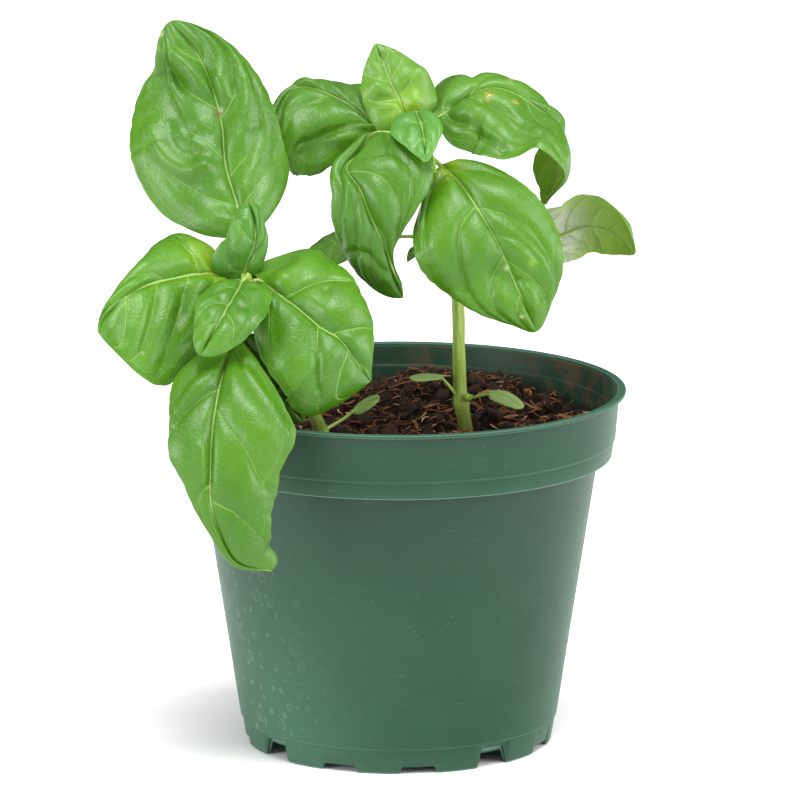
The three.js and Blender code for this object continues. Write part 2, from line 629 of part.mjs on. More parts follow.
// The blade as a solid: its middle surface moved half the thickness to each side, with the same
// triangles on both faces, and a rim round the margin.
function bladeSolid(leaf) {
  const rows = bladeRows(leaf);
  const wide = rows[0].length;
  const middle = rows.flat();
  const triangles = [];
  for (let row = 0; row + 1 < rows.length; row++)
    for (let column = 0; column + 1 < wide; column++) {
      const corner = row * wide + column;
      const [a, b, c, d] = [corner, corner + 1, corner + wide + 1, corner + wide];
      if (column < (wide - 1) / 2) triangles.push([a, b, c], [a, c, d]);
      else triangles.push([a, b, d], [b, c, d]);
    }
  const surface = indexed(middle, triangles);
  surface.computeVertexNormals();
  const normals = surface.getAttribute("normal");
  const moved = (point, index, lift) => {
    const normal = new THREE.Vector3().fromBufferAttribute(normals, index);
    return point.clone().addScaledVector(normal, lift);
  };
  const faces = [BLADE_THICKNESS / 2, -BLADE_THICKNESS / 2].map((lift) =>
    middle.map((point, index) => moved(point, index, lift)),
  );
  const under = middle.length;
  const closed = [...triangles, ...triangles.map(([a, b, c]) => [a + under, c + under, b + under])];
  const rim = [];
  for (let column = 0; column < wide; column++) rim.push(column);
  for (let row = 1; row < rows.length; row++) rim.push(row * wide + wide - 1);
  for (let column = wide - 2; column >= 0; column--) rim.push((rows.length - 1) * wide + column);
  for (let row = rows.length - 2; row > 0; row--) rim.push(row * wide);
  rim.forEach((here, index) => {
    const next = rim[(index + 1) % rim.length];
    closed.push([here, here + under, next + under], [here, next + under, next]);
  });
  return solid(indexed(faces.flat(), closed));
}

// A leaf: its blade joined to its petiole, cut back to seat against the stem.
function leafMesh(name, leaf, seats) {
  const [base, second] = leaf.midrib.map(vector);
  const line = [...leaf.petiole, base.toArray(), base.clone().lerp(second, PETIOLE_RUN).toArray()];
  const radii = PETIOLE_TAPER.map((share) => share * leaf.size.petiole);
  const petiole = solid(tube(line, radii, PETIOLE_SIDES, PETIOLE_ROWS));
  const whole = bladeSolid(leaf).add(petiole).subtract(seats[leaf.stem]);
  return named(name, geometryOf(largest(whole)), leaf.colour, 0.5);
}

// The largest body of a solid that a cut may have left in several.
function largest(shape) {
  return shape.decompose().reduce((best, one) => (one.volume() > best.volume() ? one : best));
}

// ---------------------------------------------------------------- the plant
const plant = new THREE.Group();
plant.add(pot(), soil());
const seats = {};
for (const [name, stem] of Object.entries(STEMS)) {
  seats[name] = stemSolid(stem, SEAT_GAP);
  plant.add(named(name, geometryOf(stemSolid(stem, 0)), 0xa3b565, 0.6));
}
for (const [name, leaf] of Object.entries(LEAVES)) plant.add(leafMesh(name, leaf, seats));

const box = new THREE.Box3().setFromObject(plant);
const centre = box.getCenter(new THREE.Vector3());
plant.position.set(-centre.x, -centre.y, -box.min.z);

const part = new THREE.Group();
part.add(plant);
export default part;
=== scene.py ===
"""The looks of a potted basil plant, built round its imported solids.

Lengths are millimetres round the pot's axis, as in the part's source: Z = 0 is the bottom of the
pot's feet, X runs to the right and Y to the back. `in_frame` turns them into the frame's metres.
"""

import math

import bpy
import numpy as np
from mathutils import Matrix, Vector


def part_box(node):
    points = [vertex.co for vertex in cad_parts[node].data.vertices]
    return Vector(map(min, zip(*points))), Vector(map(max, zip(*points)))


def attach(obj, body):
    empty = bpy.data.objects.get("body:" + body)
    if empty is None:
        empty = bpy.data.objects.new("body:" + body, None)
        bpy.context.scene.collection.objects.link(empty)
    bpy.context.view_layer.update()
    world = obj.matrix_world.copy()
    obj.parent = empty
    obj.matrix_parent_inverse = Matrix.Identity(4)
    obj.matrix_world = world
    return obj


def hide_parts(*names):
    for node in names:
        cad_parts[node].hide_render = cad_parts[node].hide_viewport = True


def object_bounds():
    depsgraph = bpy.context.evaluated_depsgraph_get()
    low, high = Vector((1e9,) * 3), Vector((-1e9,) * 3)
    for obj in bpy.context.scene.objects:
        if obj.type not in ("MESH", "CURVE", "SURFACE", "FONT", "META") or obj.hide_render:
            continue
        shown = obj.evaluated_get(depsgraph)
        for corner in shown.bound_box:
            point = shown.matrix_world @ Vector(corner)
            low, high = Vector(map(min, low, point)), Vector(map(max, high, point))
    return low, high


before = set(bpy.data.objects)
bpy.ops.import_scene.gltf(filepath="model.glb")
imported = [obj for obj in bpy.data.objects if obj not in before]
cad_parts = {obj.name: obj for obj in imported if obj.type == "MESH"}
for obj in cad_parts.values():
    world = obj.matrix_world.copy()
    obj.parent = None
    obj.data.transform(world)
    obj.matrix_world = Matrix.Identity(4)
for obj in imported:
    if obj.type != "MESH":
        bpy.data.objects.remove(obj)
cad_low, cad_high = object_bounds()

# ------------------------------------------------------------------ driving dimensions
MM = 0.001
POT_LOW, POT_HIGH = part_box("pot")
POT_AXIS = np.array([(POT_LOW.x + POT_HIGH.x) / 2, (POT_LOW.y + POT_HIGH.y) / 2, 0.0])
SMALLEST = 1e-9
CURVE_STEPS = 40
VECTORS = ("flat", "wrap")

# Pot.
FOOT_RADIUS = 52.4
SEAM_RADIUS, SEAM_HEIGHT = 53.8, 8.3
BODY_TOP_RADIUS, COLLAR_BOTTOM = 68.2, 99.3
COLLAR_RADIUS = 72.8
RIDGE_RADIUS, RIDGE_HEIGHT = 73.5, 105.0
LIP_UNDERSIDE, COLLAR_TOP_RADIUS = 120.9, 75.3
LIP_RADIUS, LIP_DIP = 77.5, 1.1
LIP_TOP_WIDTH, LIP_WIDTH = 2.8, 3.1
POT_HEIGHT = 122.1
WALL = 1.8
STEP = 0.5
CORNER = 0.45
FLOOR_TOP, FLOOR_UNDERSIDE = 8.5, 7.0
INNER_STEP_HEIGHT = 114.7
TAB_COUNT = 12
FIRST_GAP_ANGLE = -52.5
GAP_ANGLES = FIRST_GAP_ANGLE + np.arange(TAB_COUNT) * 360 / TAB_COUNT
GAP_WIDTH, GAP_TAPER = 13.4, 1.1
GAP_COLUMNS = (0.1, -0.25, -0.6, -1.0, -1.5, -2.1)
NOTCH_HEIGHT, SLOT_HEIGHT, SLOT_EVERY = 2.2, 6.5, 3
DRAIN_WIDTH, DRAIN_INNER, DRAIN_OUTER = 9.0, 40.0, 48.0
DRAIN_TURN = math.degrees(DRAIN_WIDTH / (DRAIN_INNER + DRAIN_OUTER))
POT_COLUMNS, NARROWEST_COLUMN = 288, 0.12
WRAP_RADIUS = 62
DROP_LINE = 0.3

# Soil.
SOIL_LEVEL = 105.0
SOIL_SLOPE_X, SOIL_SLOPE_Y = 0.035, 0.012
SOIL_WALL_RISE = 1.5
MOUND_X, MOUND_Y, MOUND_HEIGHT, MOUND_SPREAD = 13.0, 45.0, 11.0, 20.0
MOUND_BARE, BARE_SHARE = 19.0, 0.8
SOIL_EDGE, SOIL_GAP = 71.2, 0.2
BED_RINGS, BED_SIDES, BED_DEPTH = 110, 320, 1.0
BARK_ROWS, BARK_SIDES = 7, 6
FIBRE_ROWS, FIBRE_SIDES, FIBRE_KNOTS = 16, 5, 5

# Stems: centre line from under the soil to the tip, radii along it, the heights of the nodes
# where leaves grow, and side buds (place, way, length, radius).
STEMS = {
    "stem_right": dict(
        line=[(24.2, 2.5, 92), (23, 2, 106.5), (21.3, 1.5, 117.5), (20.5, 1, 135), (20.3, 0, 149),
              (19, -1, 163), (16.5, -1, 172), (11.5, -2, 190.5), (6, -3, 204.5), (3.3, -4, 212.5),
              (3.2, -4, 215.5)],
        radii=(2.5, 2.3, 2.1, 2.0, 1.9, 1.8, 1.6),
        nodes=(116.5, 171.5, 205.0, 211.0),
        buds=[((23.1, -1.2, 118.3), (0.6, -0.5, 0.7), 2.6, 1.15)],
    ),
    "stem_left": dict(
        line=[(-24.5, -5.5, 92), (-26, -8, 107), (-28.5, -12, 115), (-36.5, -24, 136.5),
              (-46, -33.5, 155.6), (-50.5, -38, 166), (-50.8, -38.3, 168.5)],
        radii=(2.4, 2.3, 2.1, 2.0, 1.9, 1.8, 1.6),
        nodes=(108.5, 156.0, 162.0, 165.5),
    ),
}
STEM_SIDES, STEM_ROWS = 28, 220
SQUARENESS, RIBBING = 0.07, 0.02
NODE_SWELL, NODE_SPREAD = 0.16, 2.2
TIP_BUD, TIP_TAPER = (4.4, 1.4), 2.5
BUD_LEAVES, BUD_ROWS, BUD_SIDES, BUD_FLATNESS, BUD_OPENING = 4, 12, 12, 0.45, 0.35

# Leaves. size gives rows, columns on each half, petiole radius, half thickness and relief.
LARGE = dict(rows=150, columns=44, petiole=1.0, thick=0.24, relief=1.0)
SMALL = dict(rows=100, columns=32, petiole=0.8, thick=0.2, relief=0.75)
TINY = dict(rows=36, columns=12, petiole=0.6, thick=0.18, relief=0.35)
LEAST_HALF_WIDTH = 0.45
WAVE_FULL_WIDTH = 8
LEFT_WAVE_SHIFT = 1.37
LOBE_SPREAD = 0.1
FOLD_STEPS = 16
DEFAULT_STIFFNESS = 0.5
DEFAULT_VEIN_STARTS = (0.1, 0.27, 0.45, 0.63)
DEFAULT_VEIN_REACH = 0.34
TOOTH_PITCH, TOOTH_HEIGHT, TOOTH_FULL_WIDTH = (4.5, 6.0), 0.34, 14
QUILT_RANGE, QUILT_BY_GAP, QUILT_MOST = (0.6, 1.25), 0.15, 1.8
RIB_HOLLOW, RIB_HOLLOW_WIDTH = 0.85, 1.1
PETIOLE_SIDES, PETIOLE_ROWS, KEEL_ROWS = 12, 26, 40
FIRST_SEED, SEED_STEP = 100, 7
# The last kind of mark paints sheen.
MARKS = ("yellow", "white", "brown", "tan", "wax")

# Light: the way to the brightest part of the white dome, where its strength starts and stops to
# rise, from which strength to which, and soft lamps with the way to them, strength and width.
BRIGHTEST = (0.0, -0.3, 0.95)
DOME = (-0.1, 0.97, 0.12, 1.05)
LAMPS = {
    "key": ((0.05, -0.35, 0.94), 2.9, 30.0),
    "left": ((-0.85, -0.5, 0.2), 2.2, 30.0),
    "right": ((0.93, -0.35, 0.28), 2.8, 45.0),
}
FLOOR_HALF, FLOOR_DROP = 6.0, 0.0002

# The photograph's camera: distance from its target, elevation of the axis that the measures were
# taken along, focal length and principal point in pixels of an 800 pixel picture.
CAMERA_TARGET = (0, 0, 60)
CAMERA_DISTANCE = 2500
CAMERA_ELEVATION = 13.465
FOCAL_PIXELS = 7297.9
PRINCIPAL_X, PRINCIPAL_Y = 398.6, 564.51
PICTURE = 800
SENSOR = 36.0
CLIP_NEAR, CLIP_FAR = 0.1, 20

# Each leaf: its petiole from the stem, its midrib from base to tip, where its upper side looks,
# half widths on each side (looking at the upper side with the tip up; right is left's where it
# isn't given), the slope in degrees from the midrib and at the margin, the margin's waves, cuts
# in it (side, place, depth, spread), and how far the base reaches back along the petiole.
# Veins are given by their place along the midrib at 0, 1/3, 2/3 and 1 of the way to the margin.
# Folds are ridges and hollows: (width, height, places and ways across of a line along it). Marks
# are (kind, place, way across, size).
# tone is (how much paler and yellower than the general green, how much lighter).
LEAVES = {
    "leaf_r_top_back": dict(
        size=SMALL, tone=(0.45, 0), petiole=[(3.5, -3.8, 211.5), (3, -1.8, 214)],
        midrib=[(2.4, -2.2, 215.4), (0, -1, 222), (-3, 1, 228), (-5.5, 4, 234.2), (-7.8, 6, 239.5)],
        face=[(0.05, -1, 0.25), (0, -1, 0.1)], left=(10, 12, 11, 7.5, 2.5),
        right=(11.5, 13.5, 13, 8.3, 3), bend=((15, 30), (15, 40)), wave=(1, 2.5, 0.1),
        left_veins=[(0.25, 0.28, 0.35, 0.5), (0.48, 0.55, 0.65, 0.8), (0.7, 0.78, 0.9, 1)],
        right_veins=[(0.26, 0.35, 0.47, 0.7), (0.5, 0.6, 0.7, 0.85), (0.72, 0.8, 0.9, 1)],
        lobes=(4.5, 3),
        folds=[(1.8, -1, [(0.34, -0.43), (0.29, -0.17)]), (1.3, -0.8, [(0.32, 0.2), (0.36, 0.38)]),
               (1.4, -0.8, [(0.15, -0.55), (0.13, -0.27)]), (2.3, 1.2, [(0.5, -0.43)]),
               (2.3, 1.1, [(0.16, 0.37)]), (2.1, 1.1, [(0.12, -0.15)]), (1.8, -0.7, [(0.04, 0.28)])],
        marks=[("yellow", 0.1, 0.1, 6)],
    ),
    "leaf_r_top_front": dict(
        size=SMALL, tone=(-0.35, 0.15), petiole=[(3.5, -3.9, 211.5), (5.2, -6.2, 215.2)],
        midrib=[(6, -7, 218.5), (7.5, -14, 216), (8.5, -21, 212), (9, -28, 205)],
        face=[(-0.1, -0.7, 0.7), (0, -0.95, 0.3)], left=(3.5, 6, 7, 4.5, 2), right=(8, 10, 11, 6.5, 2),
        bend=((30, 30), (30, 20)), left_veins=[(0.3, 0.33, 0.5, 0.8), (0.62, 0.7, 0.8, 0.95)],
        right_veins=[(0.3, 0.33, 0.5, 0.8), (0.62, 0.7, 0.8, 0.95)],
        folds=[(1.8, 0.6, [(0.45, 0.37)]), (1.1, -0.5, [(0.3, 0.5), (0.59, 0.67)])],
    ),
    "leaf_r_upper_left": dict(
        size=LARGE, petiole=[(4.6, -3.6, 208), (-0.5, -2.6, 209.5)],
        midrib=[(-6.5, -2, 211.5), (-17, 6, 219), (-28.5, 11, 223.5), (-33.5, 11, 224),
                (-38.5, 9, 221.5), (-41.5, 6, 215), (-43.5, 4, 208.5)],
        face=[(-0.05, -0.75, 0.65), (-0.1, -0.7, 0.7), (-0.5, -0.6, 0.6), (-0.9, -0.4, 0.1)],
        left=(2.8, 15.5, 32, 28, 10), right=(9, 15.5, 9, 5.5, 5),
        bend=((10, 56), ([15, 5, 0, 0], [20, 70, 110, 110])), wave=(1.2, 2, 0.2), stiff=0.85,
        left_veins=[(0, 0.12, 0.5, 1.05), (0.38, 0.66, 0.95, 1.1), (0.65, 0.85, 1, 1.1)],
        lobes=(4.5, 3),
        folds=[(1.3, -1.3, [(0.12, -0.7), (0.25, -0.57), (0.39, -0.53), (0.54, -0.62), (0.7, -0.72)]),
               (4.6, -2.2, [(0.63, -0.82), (0.38, -0.75)]),
               (1.1, -0.4, [(0.71, -0.28), (0.6, -0.25), (0.46, -0.15)]),
               (1.7, 0.5, [(0.63, -0.72), (0.46, -0.62), (0.34, -0.65)])],
    ),
    "leaf_r_front_left": dict(
        size=LARGE, tone=(-0.1, -0.05), petiole=[(4.2, -4.2, 210), (-1.5, -7.5, 211)],
        midrib=[(-8, -8, 211.5), (-13, -15, 207.3), (-17.5, -22, 202), (-13, -28, 196),
                (-9.8, -30, 188), (-5, -30, 177), (1.3, -26, 158.5)],
        face=[(-0.35, -0.55, 0.8), (-0.1, -0.85, 0.5), (-0.1, -1, 0.2), (0, -1, 0.1)],
        left=(18, 30.5, 22.5, 2.6, 1.3), right=(4.2, 5.2, 14.2, 15.8, 9.4), bend=((10, 30), (15, 60)),
        wave=(1, 2.2, 0),
        left_veins=[(0, 0.02, 0.4, 0.95), (0.3, 0.42, 0.62, 0.85), (0.6, 0.72, 0.88, 1)],
        right_veins=[(0.15, 0.3, 0.5, 0.7), (0.4, 0.55, 0.75, 0.95), (0.62, 0.75, 0.9, 1.1)],
        folds=[(1.5, -1.2, [(0.29, 0.25), (0.18, 0.18), (0.1, 0.13)]),
               (1.1, -0.5, [(0.3, -0.6), (0.43, -0.58), (0.51, -0.57)]),
               (1.4, -1, [(0.7, 0.8), (0.72, 0.45), (0.84, 0.2)]),
               (1.2, 0.5, [(0.32, 0.73), (0.53, 0.93), (0.68, 1)]), (6.9, 1.2, [(0.36, -0.28)]),
               (6.9, -0.8, [(0.59, 0.48)])],
    ),
    "leaf_r_front": dict(
        size=LARGE, petiole=[(6.4, -3.4, 203), (10, -8.5, 203.5)],
        midrib=[(14.5, -12, 201), (19.8, -20, 197.5), (26, -28, 190), (32.5, -32, 179.5),
                (38.5, -34, 166.5), (46.2, -34, 148.5)],
        face=[(-0.2, -0.7, 0.7), (0, -0.95, 0.35), (0.05, -1, 0.15)], left=(9, 16, 21, 18.5, 7.3),
        right=(9, 22.2, 26, 18.3, 6), bend=((8, 30), (8, 30)), wave=(1.2, 2.4, 0.3),
        nicks=[(1, 0.42, -1.4, 0.15)],
        left_veins=[(0.03, 0.11, 0.17, 0.33), (0.33, 0.43, 0.68, 0.95), (0.61, 0.77, 0.88, 1)],
        right_veins=[(0.07, 0.08, 0.12, 0.6), (0.32, 0.39, 0.62, 0.92), (0.6, 0.68, 0.82, 1),
                     (0.8, 0.87, 0.97, 1.1)],
        folds=[(1.2, 0.7, [(0.11, 0.23), (0.12, 0.73), (0.22, 0.8), (0.33, 0.85), (0.44, 0.9)]),
               (2.3, -1.1, [(0.18, 1), (0.34, 0.97)]),
               (1.2, -0.8, [(0.33, 0.07), (0.36, 0.27), (0.42, 0.42), (0.54, 0.55), (0.68, 0.75)]),
               (3.7, -2, [(0.67, 0.17), (0.74, 0.12)]),
               (1.1, -0.5, [(0.62, 0.08), (0.68, 0.32), (0.74, 0.48)]),
               (1.2, -0.7, [(0.74, -0.1), (0.8, -0.37), (0.88, -0.55)]),
               (1.2, -0.7, [(0.5, -0.1), (0.57, -0.3), (0.7, -0.5)]),
               (1.2, -0.5, [(0.39, -0.23), (0.52, -0.55), (0.66, -0.68)]), (8, 1.4, [(0.48, 0.17)]),
               (5.8, 1.2, [(0.62, -0.28)])],
        marks=[("yellow", 0.69, -0.37, 1), ("yellow", 0.04, 0, 6), ("white", 0.66, 0.02, 0.7),
               ("white", 0.9, 0.3, 0.6)],
    ),
    "leaf_r_upper_right": dict(
        size=LARGE, tone=(0.2, 0.05), petiole=[(4, -4, 210.5), (9, -2.8, 213.5)],
        midrib=[(14, -2, 216), (24, 2, 223), (32, 4, 225), (39.5, 4, 223), (46.8, 3, 218.3),
                (54, 1, 212.5), (55, -1, 204), (54, -2, 195.3), (49.7, -3, 186)],
        face=[(0, -0.5, 0.87), (0.05, -0.5, 0.87), (0.5, -0.4, 0.77), (0.9, 0.3, 0.2),
              (0.6, 0.8, -0.1)], left=(22, 16.5, 11.5, 14.3, 5.4), right=(17, 26, 30, 20, 2.5),
        bend=((6, 51), (6, 50)), wave=(1.2, 2.2, 0.1),
        nicks=[(-1, 0.2, 6, 0.035), (-1, 0.62, -2.3, 0.12), (1, 0.72, -2, 0.1)],
        left_veins=[(0.15, 0.25, 0.35, 0.5), (0.4, 0.5, 0.6, 0.75), (0.65, 0.75, 0.85, 0.95)],
        right_veins=[(0.02, 0.06, 0.15, 0.7), (0.12, 0.26, 0.58, 0.9), (0.42, 0.55, 0.75, 1)],
        lobes=(2.5, 1),
        folds=[(1.5, -1.4, [(0.03, 0.22), (0.1, 0.47), (0.32, 0.77), (0.5, 0.85)]),
               (1.3, -1.1, [(0.04, -0.1), (0.12, 0.03), (0.19, -0.07)]),
               (1.3, -1.1, [(0.22, 0.32), (0.36, 0.38), (0.44, 0.43), (0.54, 0.53)]),
               (3.2, -1.5, [(0.56, 0.87)]), (5.8, 1.1, [(0.2, 0.48)]), (6.9, 1, [(0.5, 0.62)])],
        marks=[("tan", 0.27, 0.2, 1.9), ("tan", 0.41, 0.22, 1), ("tan", 0.34, -0.3, 0.8)],
    ),
    "leaf_r_low_right": dict(
        size=LARGE, tone=(0.3, 0.1), petiole=[(16.5, -1, 172), (26, -0.5, 173)],
        midrib=[(36, 0, 171.5), (46.3, 4, 172), (55.8, 6, 174), (64.5, 6, 177.5), (73.5, 4, 175.3),
                (80.3, 1, 168.5)],
        face=[(0, 0.75, 0.65), (0, 0.8, 0.6), (0.4, 0.7, 0.5), (0.6, 0.6, 0.5)],
        left=(9.3, 9.6, 13.2, 11.2, 5.4), right=(9, 21, 16.8, 16.5, 6.5), bend=((10, 30), (10, 30)),
        wave=(1, 2, 0.1),
        folds=[(5, 0.9, [(0.45, 0.2)]), (4, -1, [(0.62, -0.2)]),
               (1.2, -1, [(0.2, -0.2), (0.4, -0.5), (0.6, -0.8)])],
        # The last three marks paint sheen: near-white patches near the base of the underside.
        marks=[("brown", 0.92, -0.58, 0.5), ("wax", 0.14, 0.3, 17), ("wax", 0.2, -0.4, 14),
               ("wax", 0.36, 0.1, 8)],
    ),
    "leaf_r_low_left": dict(
        size=SMALL, tone=(0.3, -0.1), petiole=[(16.5, -1, 172), (6, 1.5, 174)],
        midrib=[(-4.5, 4, 173.5), (-14, 5, 173), (-23, 6, 170), (-30.5, 5, 164.5), (-34.5, 3, 156.5)],
        face=[(0, -0.3, 0.95), (-0.6, -0.3, 0.75)], left=(5, 9, 11, 8, 3), bend=((15, 40), (15, 30)),
    ),
    "leaf_r_axil": dict(
        size=TINY, tone=(0, 0.1), petiole=[(16.8, -1.2, 169.5), (12.5, -3, 171.5)],
        midrib=[(8.5, -4.5, 172), (5.5, -8, 171), (3, -12, 168)],
        face=[(-0.2, -0.8, 0.6), (-0.6, -0.8, 0.1)], left=(1.2, 2, 2.2, 1.5, 0.7),
        bend=((10, 20), (10, 20)),
    ),
    "seed_leaf_r_a": dict(
        size=TINY, tone=(1.7, -0.1), petiole=[(21.5, 1.6, 116.5), (17, -1.2, 123)],
        midrib=[(14, -3, 126.6), (10.5, -4.5, 127.2), (7, -6, 127), (3.9, -7.2, 126.6)],
        face=[(0.05, 0, 1), (0, -0.1, 1)], left=(3, 4.5, 4.5, 4, 2.5), bend=((5, 20), (5, 20)),
        lobes=(0.5, 4.5),
    ),
    "seed_leaf_r_b": dict(
        size=TINY, tone=(2, 0), petiole=[(21.5, 1.6, 116.5), (28, -3.5, 120)],
        midrib=[(31.8, -7, 121.3), (35, -9.5, 121.2), (38.5, -12.5, 120), (42, -16, 118.3)],
        face=[(0, -0.5, 0.85), (0.3, -0.6, 0.7)], left=(2.2, 3.2, 3.2, 2.6, 1.6),
        right=(2.4, 3.4, 3.4, 2.7, 1.6), bend=((5, 20), (5, 20)), lobes=(3, 0.8),
    ),
    "leaf_l_back": dict(
        size=LARGE, petiole=[(-48.6, -36.1, 161.3), (-51.3, -31.2, 170.5)],
        midrib=[(-52, -30, 180.5), (-54, -25, 189.5), (-58, -17, 201.5), (-59.5, -10, 214.5),
                (-62.5, -5, 225.5), (-68, 0, 237), (-77, 4, 247.5)],
        face=[(0, -0.95, 0.35), (0, -1, 0.1), (-0.05, -1, 0.1)], left=(15.7, 27, 34, 27.8, 10.4),
        right=(11.8, 21.9, 19.9, 14.5, 6.2), bend=((12, 35), (12, 45)), wave=(1.2, 2.2, 0.1),
        nicks=[(-1, 0.88, 1.5, 0.03)],
        left_veins=[(0.12, 0.2, 0.37, 0.9), (0.34, 0.5, 0.9, 1.1), (0.56, 0.72, 1, 1.15),
                    (0.78, 0.9, 1.05, 1.2)],
        right_veins=[(0.1, 0.17, 0.27, 0.45), (0.26, 0.33, 0.5, 0.85), (0.52, 0.6, 0.78, 1.05),
                     (0.76, 0.84, 0.95, 1.1)],
        folds=[(3.2, 2, [(0.93, -0.8), (0.86, -0.4), (0.78, -0.2), (0.68, -0.13)]),
               (3.6, -2.2, [(0.84, -0.73), (0.82, -0.48), (0.74, -0.33)]),
               (8, -2.6, [(0.74, -0.52), (0.64, -0.4)]),
               (3, 2.3, [(0.57, -0.75), (0.42, -0.64), (0.34, -0.45), (0.33, -0.22)]),
               (2.2, -1.2, [(0.57, -0.53), (0.45, -0.48), (0.38, -0.33)]),
               (2.6, 1.3, [(0.46, -0.28), (0.39, -0.1)]), (2.8, 1.4, [(0.68, 0.2), (0.6, 0.25)]),
               (2.2, -1, [(0.64, 0.43), (0.58, 0.35), (0.53, 0.2)]),
               (1.6, 0.6, [(0.62, 0.87), (0.48, 0.65), (0.46, 0.45)])],
        marks=[("brown", 0.55, -0.015, 1.1), ("white", 0.56, 0.03, 0.8), ("white", 0.97, -0.8, 0.6),
               ("white", 0.93, -0.95, 0.7)],
    ),
    "leaf_l_outer": dict(
        size=LARGE, tone=(0, 0.1), petiole=[(-49.9, -37.4, 164.2), (-53.6, -37.3, 166.8)],
        midrib=[(-57.5, -37, 167.5), (-65.3, -42, 170.3), (-74.3, -47, 169.5), (-83, -53, 168.5),
                (-90.5, -58, 165), (-97.8, -63, 158.5), (-99.5, -65, 154.7)],
        face=[(0.1, -0.75, 0.65), (0.3, -0.8, 0.5), (0, -0.8, 0.5)], left=(8.4, 22.5, 32, 31.5, 18),
        right=(22, 19.8, 10.4, 4.9, 1.5), bend=((3, 34), (16, 58)), wave=(1.2, 2.2, 0.1), stiff=0.85,
        left_veins=[(0.08, 0.15, 0.32, 0.5), (0.26, 0.4, 0.62, 0.85), (0.47, 0.64, 0.85, 1),
                    (0.72, 0.85, 0.97, 1.1)],
        right_veins=[(0.17, 0.18, 0.22, 0.3), (0.42, 0.5, 0.65, 0.9), (0.7, 0.8, 0.95, 1.1)],
        lobes=(1, 2),
        folds=[(1.4, -1.1, [(0.18, 0.67), (0.2, 0.37), (0.18, 0.02)]), (9.2, 1.7, [(0.32, 0.75)]),
               (5.2, 1.4, [(0.04, 0.57)]), (2.5, -1.3, [(0.56, 0.1), (0.34, 0.1), (0.22, 0.05)]),
               (1.1, -0.6, [(0.5, -0.05), (0.62, -0.27), (0.8, -0.58)]),
               (2.8, -1.5, [(0.36, -0.23), (0.43, -0.4)]),
               (1.8, 0.7, [(0.22, -0.2), (0.32, -0.35), (0.41, -0.47)]),
               (1.3, -0.5, [(0.46, -0.72), (0.69, -0.82)])], marks=[("yellow", 0.07, 0.25, 8)],
    ),
    "leaf_l_inner": dict(
        size=LARGE, tone=(0, 0.1), petiole=[(-49.9, -37.4, 164.2), (-48, -38.8, 166.6)],
        midrib=[(-46, -40, 167), (-41, -46, 164.5), (-33.5, -51, 160), (-26, -55, 154.5),
                (-19, -57, 150), (-14, -57, 143), (-9.5, -56, 136)],
        face=[(0.05, -0.7, 0.7), (0.1, -0.85, 0.5), (0.3, -0.9, 0.2)], left=(24.2, 26.2, 21.4, 13, 3.6),
        right=(6.5, 16.5, 23.8, 27.2, 22.3), bend=((12, 35), (12, 35)), wave=(1.2, 2.2, 0.1),
        nicks=[(-1, 0.2, 2.2, 0.12)],
        left_veins=[(0.22, 0.28, 0.35, 0.47), (0.62, 0.68, 0.72, 0.77), (0.86, 0.92, 0.97, 1.05)],
        right_veins=[(0.12, 0.18, 0.32, 0.5), (0.51, 0.62, 0.86, 0.96), (0.75, 0.85, 0.97, 1.1)],
        lobes=(6, 1),
        folds=[(3.7, -1.9, [(0.01, -0.68), (0.04, -0.58)]), (3.4, 1.4, [(0.14, -0.15)]),
               (1.2, -0.9, [(0.24, -0.03), (0.28, -0.3), (0.34, -0.6), (0.43, -0.85)]),
               (1.8, -0.7, [(0.4, -0.45)]), (1.1, -0.7, [(0.62, -0.07), (0.68, -0.28), (0.74, -0.85)]),
               (2.3, -0.8, [(0.38, -0.08), (0.59, -0.08)]),
               (1.1, -0.7, [(0.52, 0.05), (0.64, 0.38), (0.82, 0.6)]),
               (1.3, 0.7, [(0.18, 0.25), (0.3, 0.63), (0.46, 0.8)]), (10.3, 0.8, [(0.58, -0.5)])],
    ),
    "leaf_l_front": dict(
        size=LARGE, tone=(0, -0.05), petiole=[(-48.6, -36.1, 161.3), (-52.5, -43, 157)],
        midrib=[(-53, -47.5, 151.5), (-56, -60, 147), (-59.5, -74, 136.5), (-61.5, -82, 124.5),
                (-62, -86, 112), (-62, -87, 102), (-59.5, -87, 92.5), (-53.5, -86, 81.5),
                (-42, -84, 78)],
        face=[(-0.1, -0.7, 0.7), (-0.1, -0.95, 0.3), (-0.1, -1, 0.1), (-0.1, -1, 0.1)],
        left=(2, 18, 28.6, 19, 10.5), right=(3.2, 16, 11.8, 3.6, 1.3), bend=((10, 35), (12, 12)),
        wave=(1.2, 2.6, 0.1),
        nicks=[(-1, 0.2, 1.2, 0.08), (-1, 0.44, -1, 0.06), (-1, 0.575, 3.7, 0.07),
               (-1, 0.93, 1.3, 0.05), (1, 0.505, -2.4, 0.07)],
        left_veins=[(0.06, 0.17, 0.33, 0.48), (0.36, 0.48, 0.58, 0.7), (0.66, 0.71, 0.8, 0.9)],
        right_veins=[(0.12, 0.19, 0.29, 0.36), (0.29, 0.33, 0.38, 0.43), (0.61, 0.63, 0.66, 0.75)],
        folds=[(1.2, -1.1, [(0.3, 0.13), (0.34, 0.43), (0.41, 0.83)]), (4.6, 1.2, [(0.28, 0.45)]),
               (1.3, -0.6, [(0.47, 0.07), (0.6, 0.08)]), (2.5, 1, [(0.5, 0.25), (0.6, 0.3)]),
               (1.1, -0.5, [(0.61, 0.08), (0.65, 0.8)]),
               (1.1, -0.6, [(0.38, -0.1), (0.42, -0.18), (0.49, -0.38), (0.6, -0.67)]),
               (1.7, 1.1, [(0.22, -0.47), (0.3, -0.68), (0.4, -0.83), (0.46, -0.9)]),
               (2.8, -1.7, [(0.2, -0.75), (0.3, -0.92), (0.38, -1)]), (5.8, -1, [(0.58, -0.37)]),
               (1.1, -0.4, [(0.66, -0.05), (0.71, -0.32), (0.75, -0.5)])],
    ),
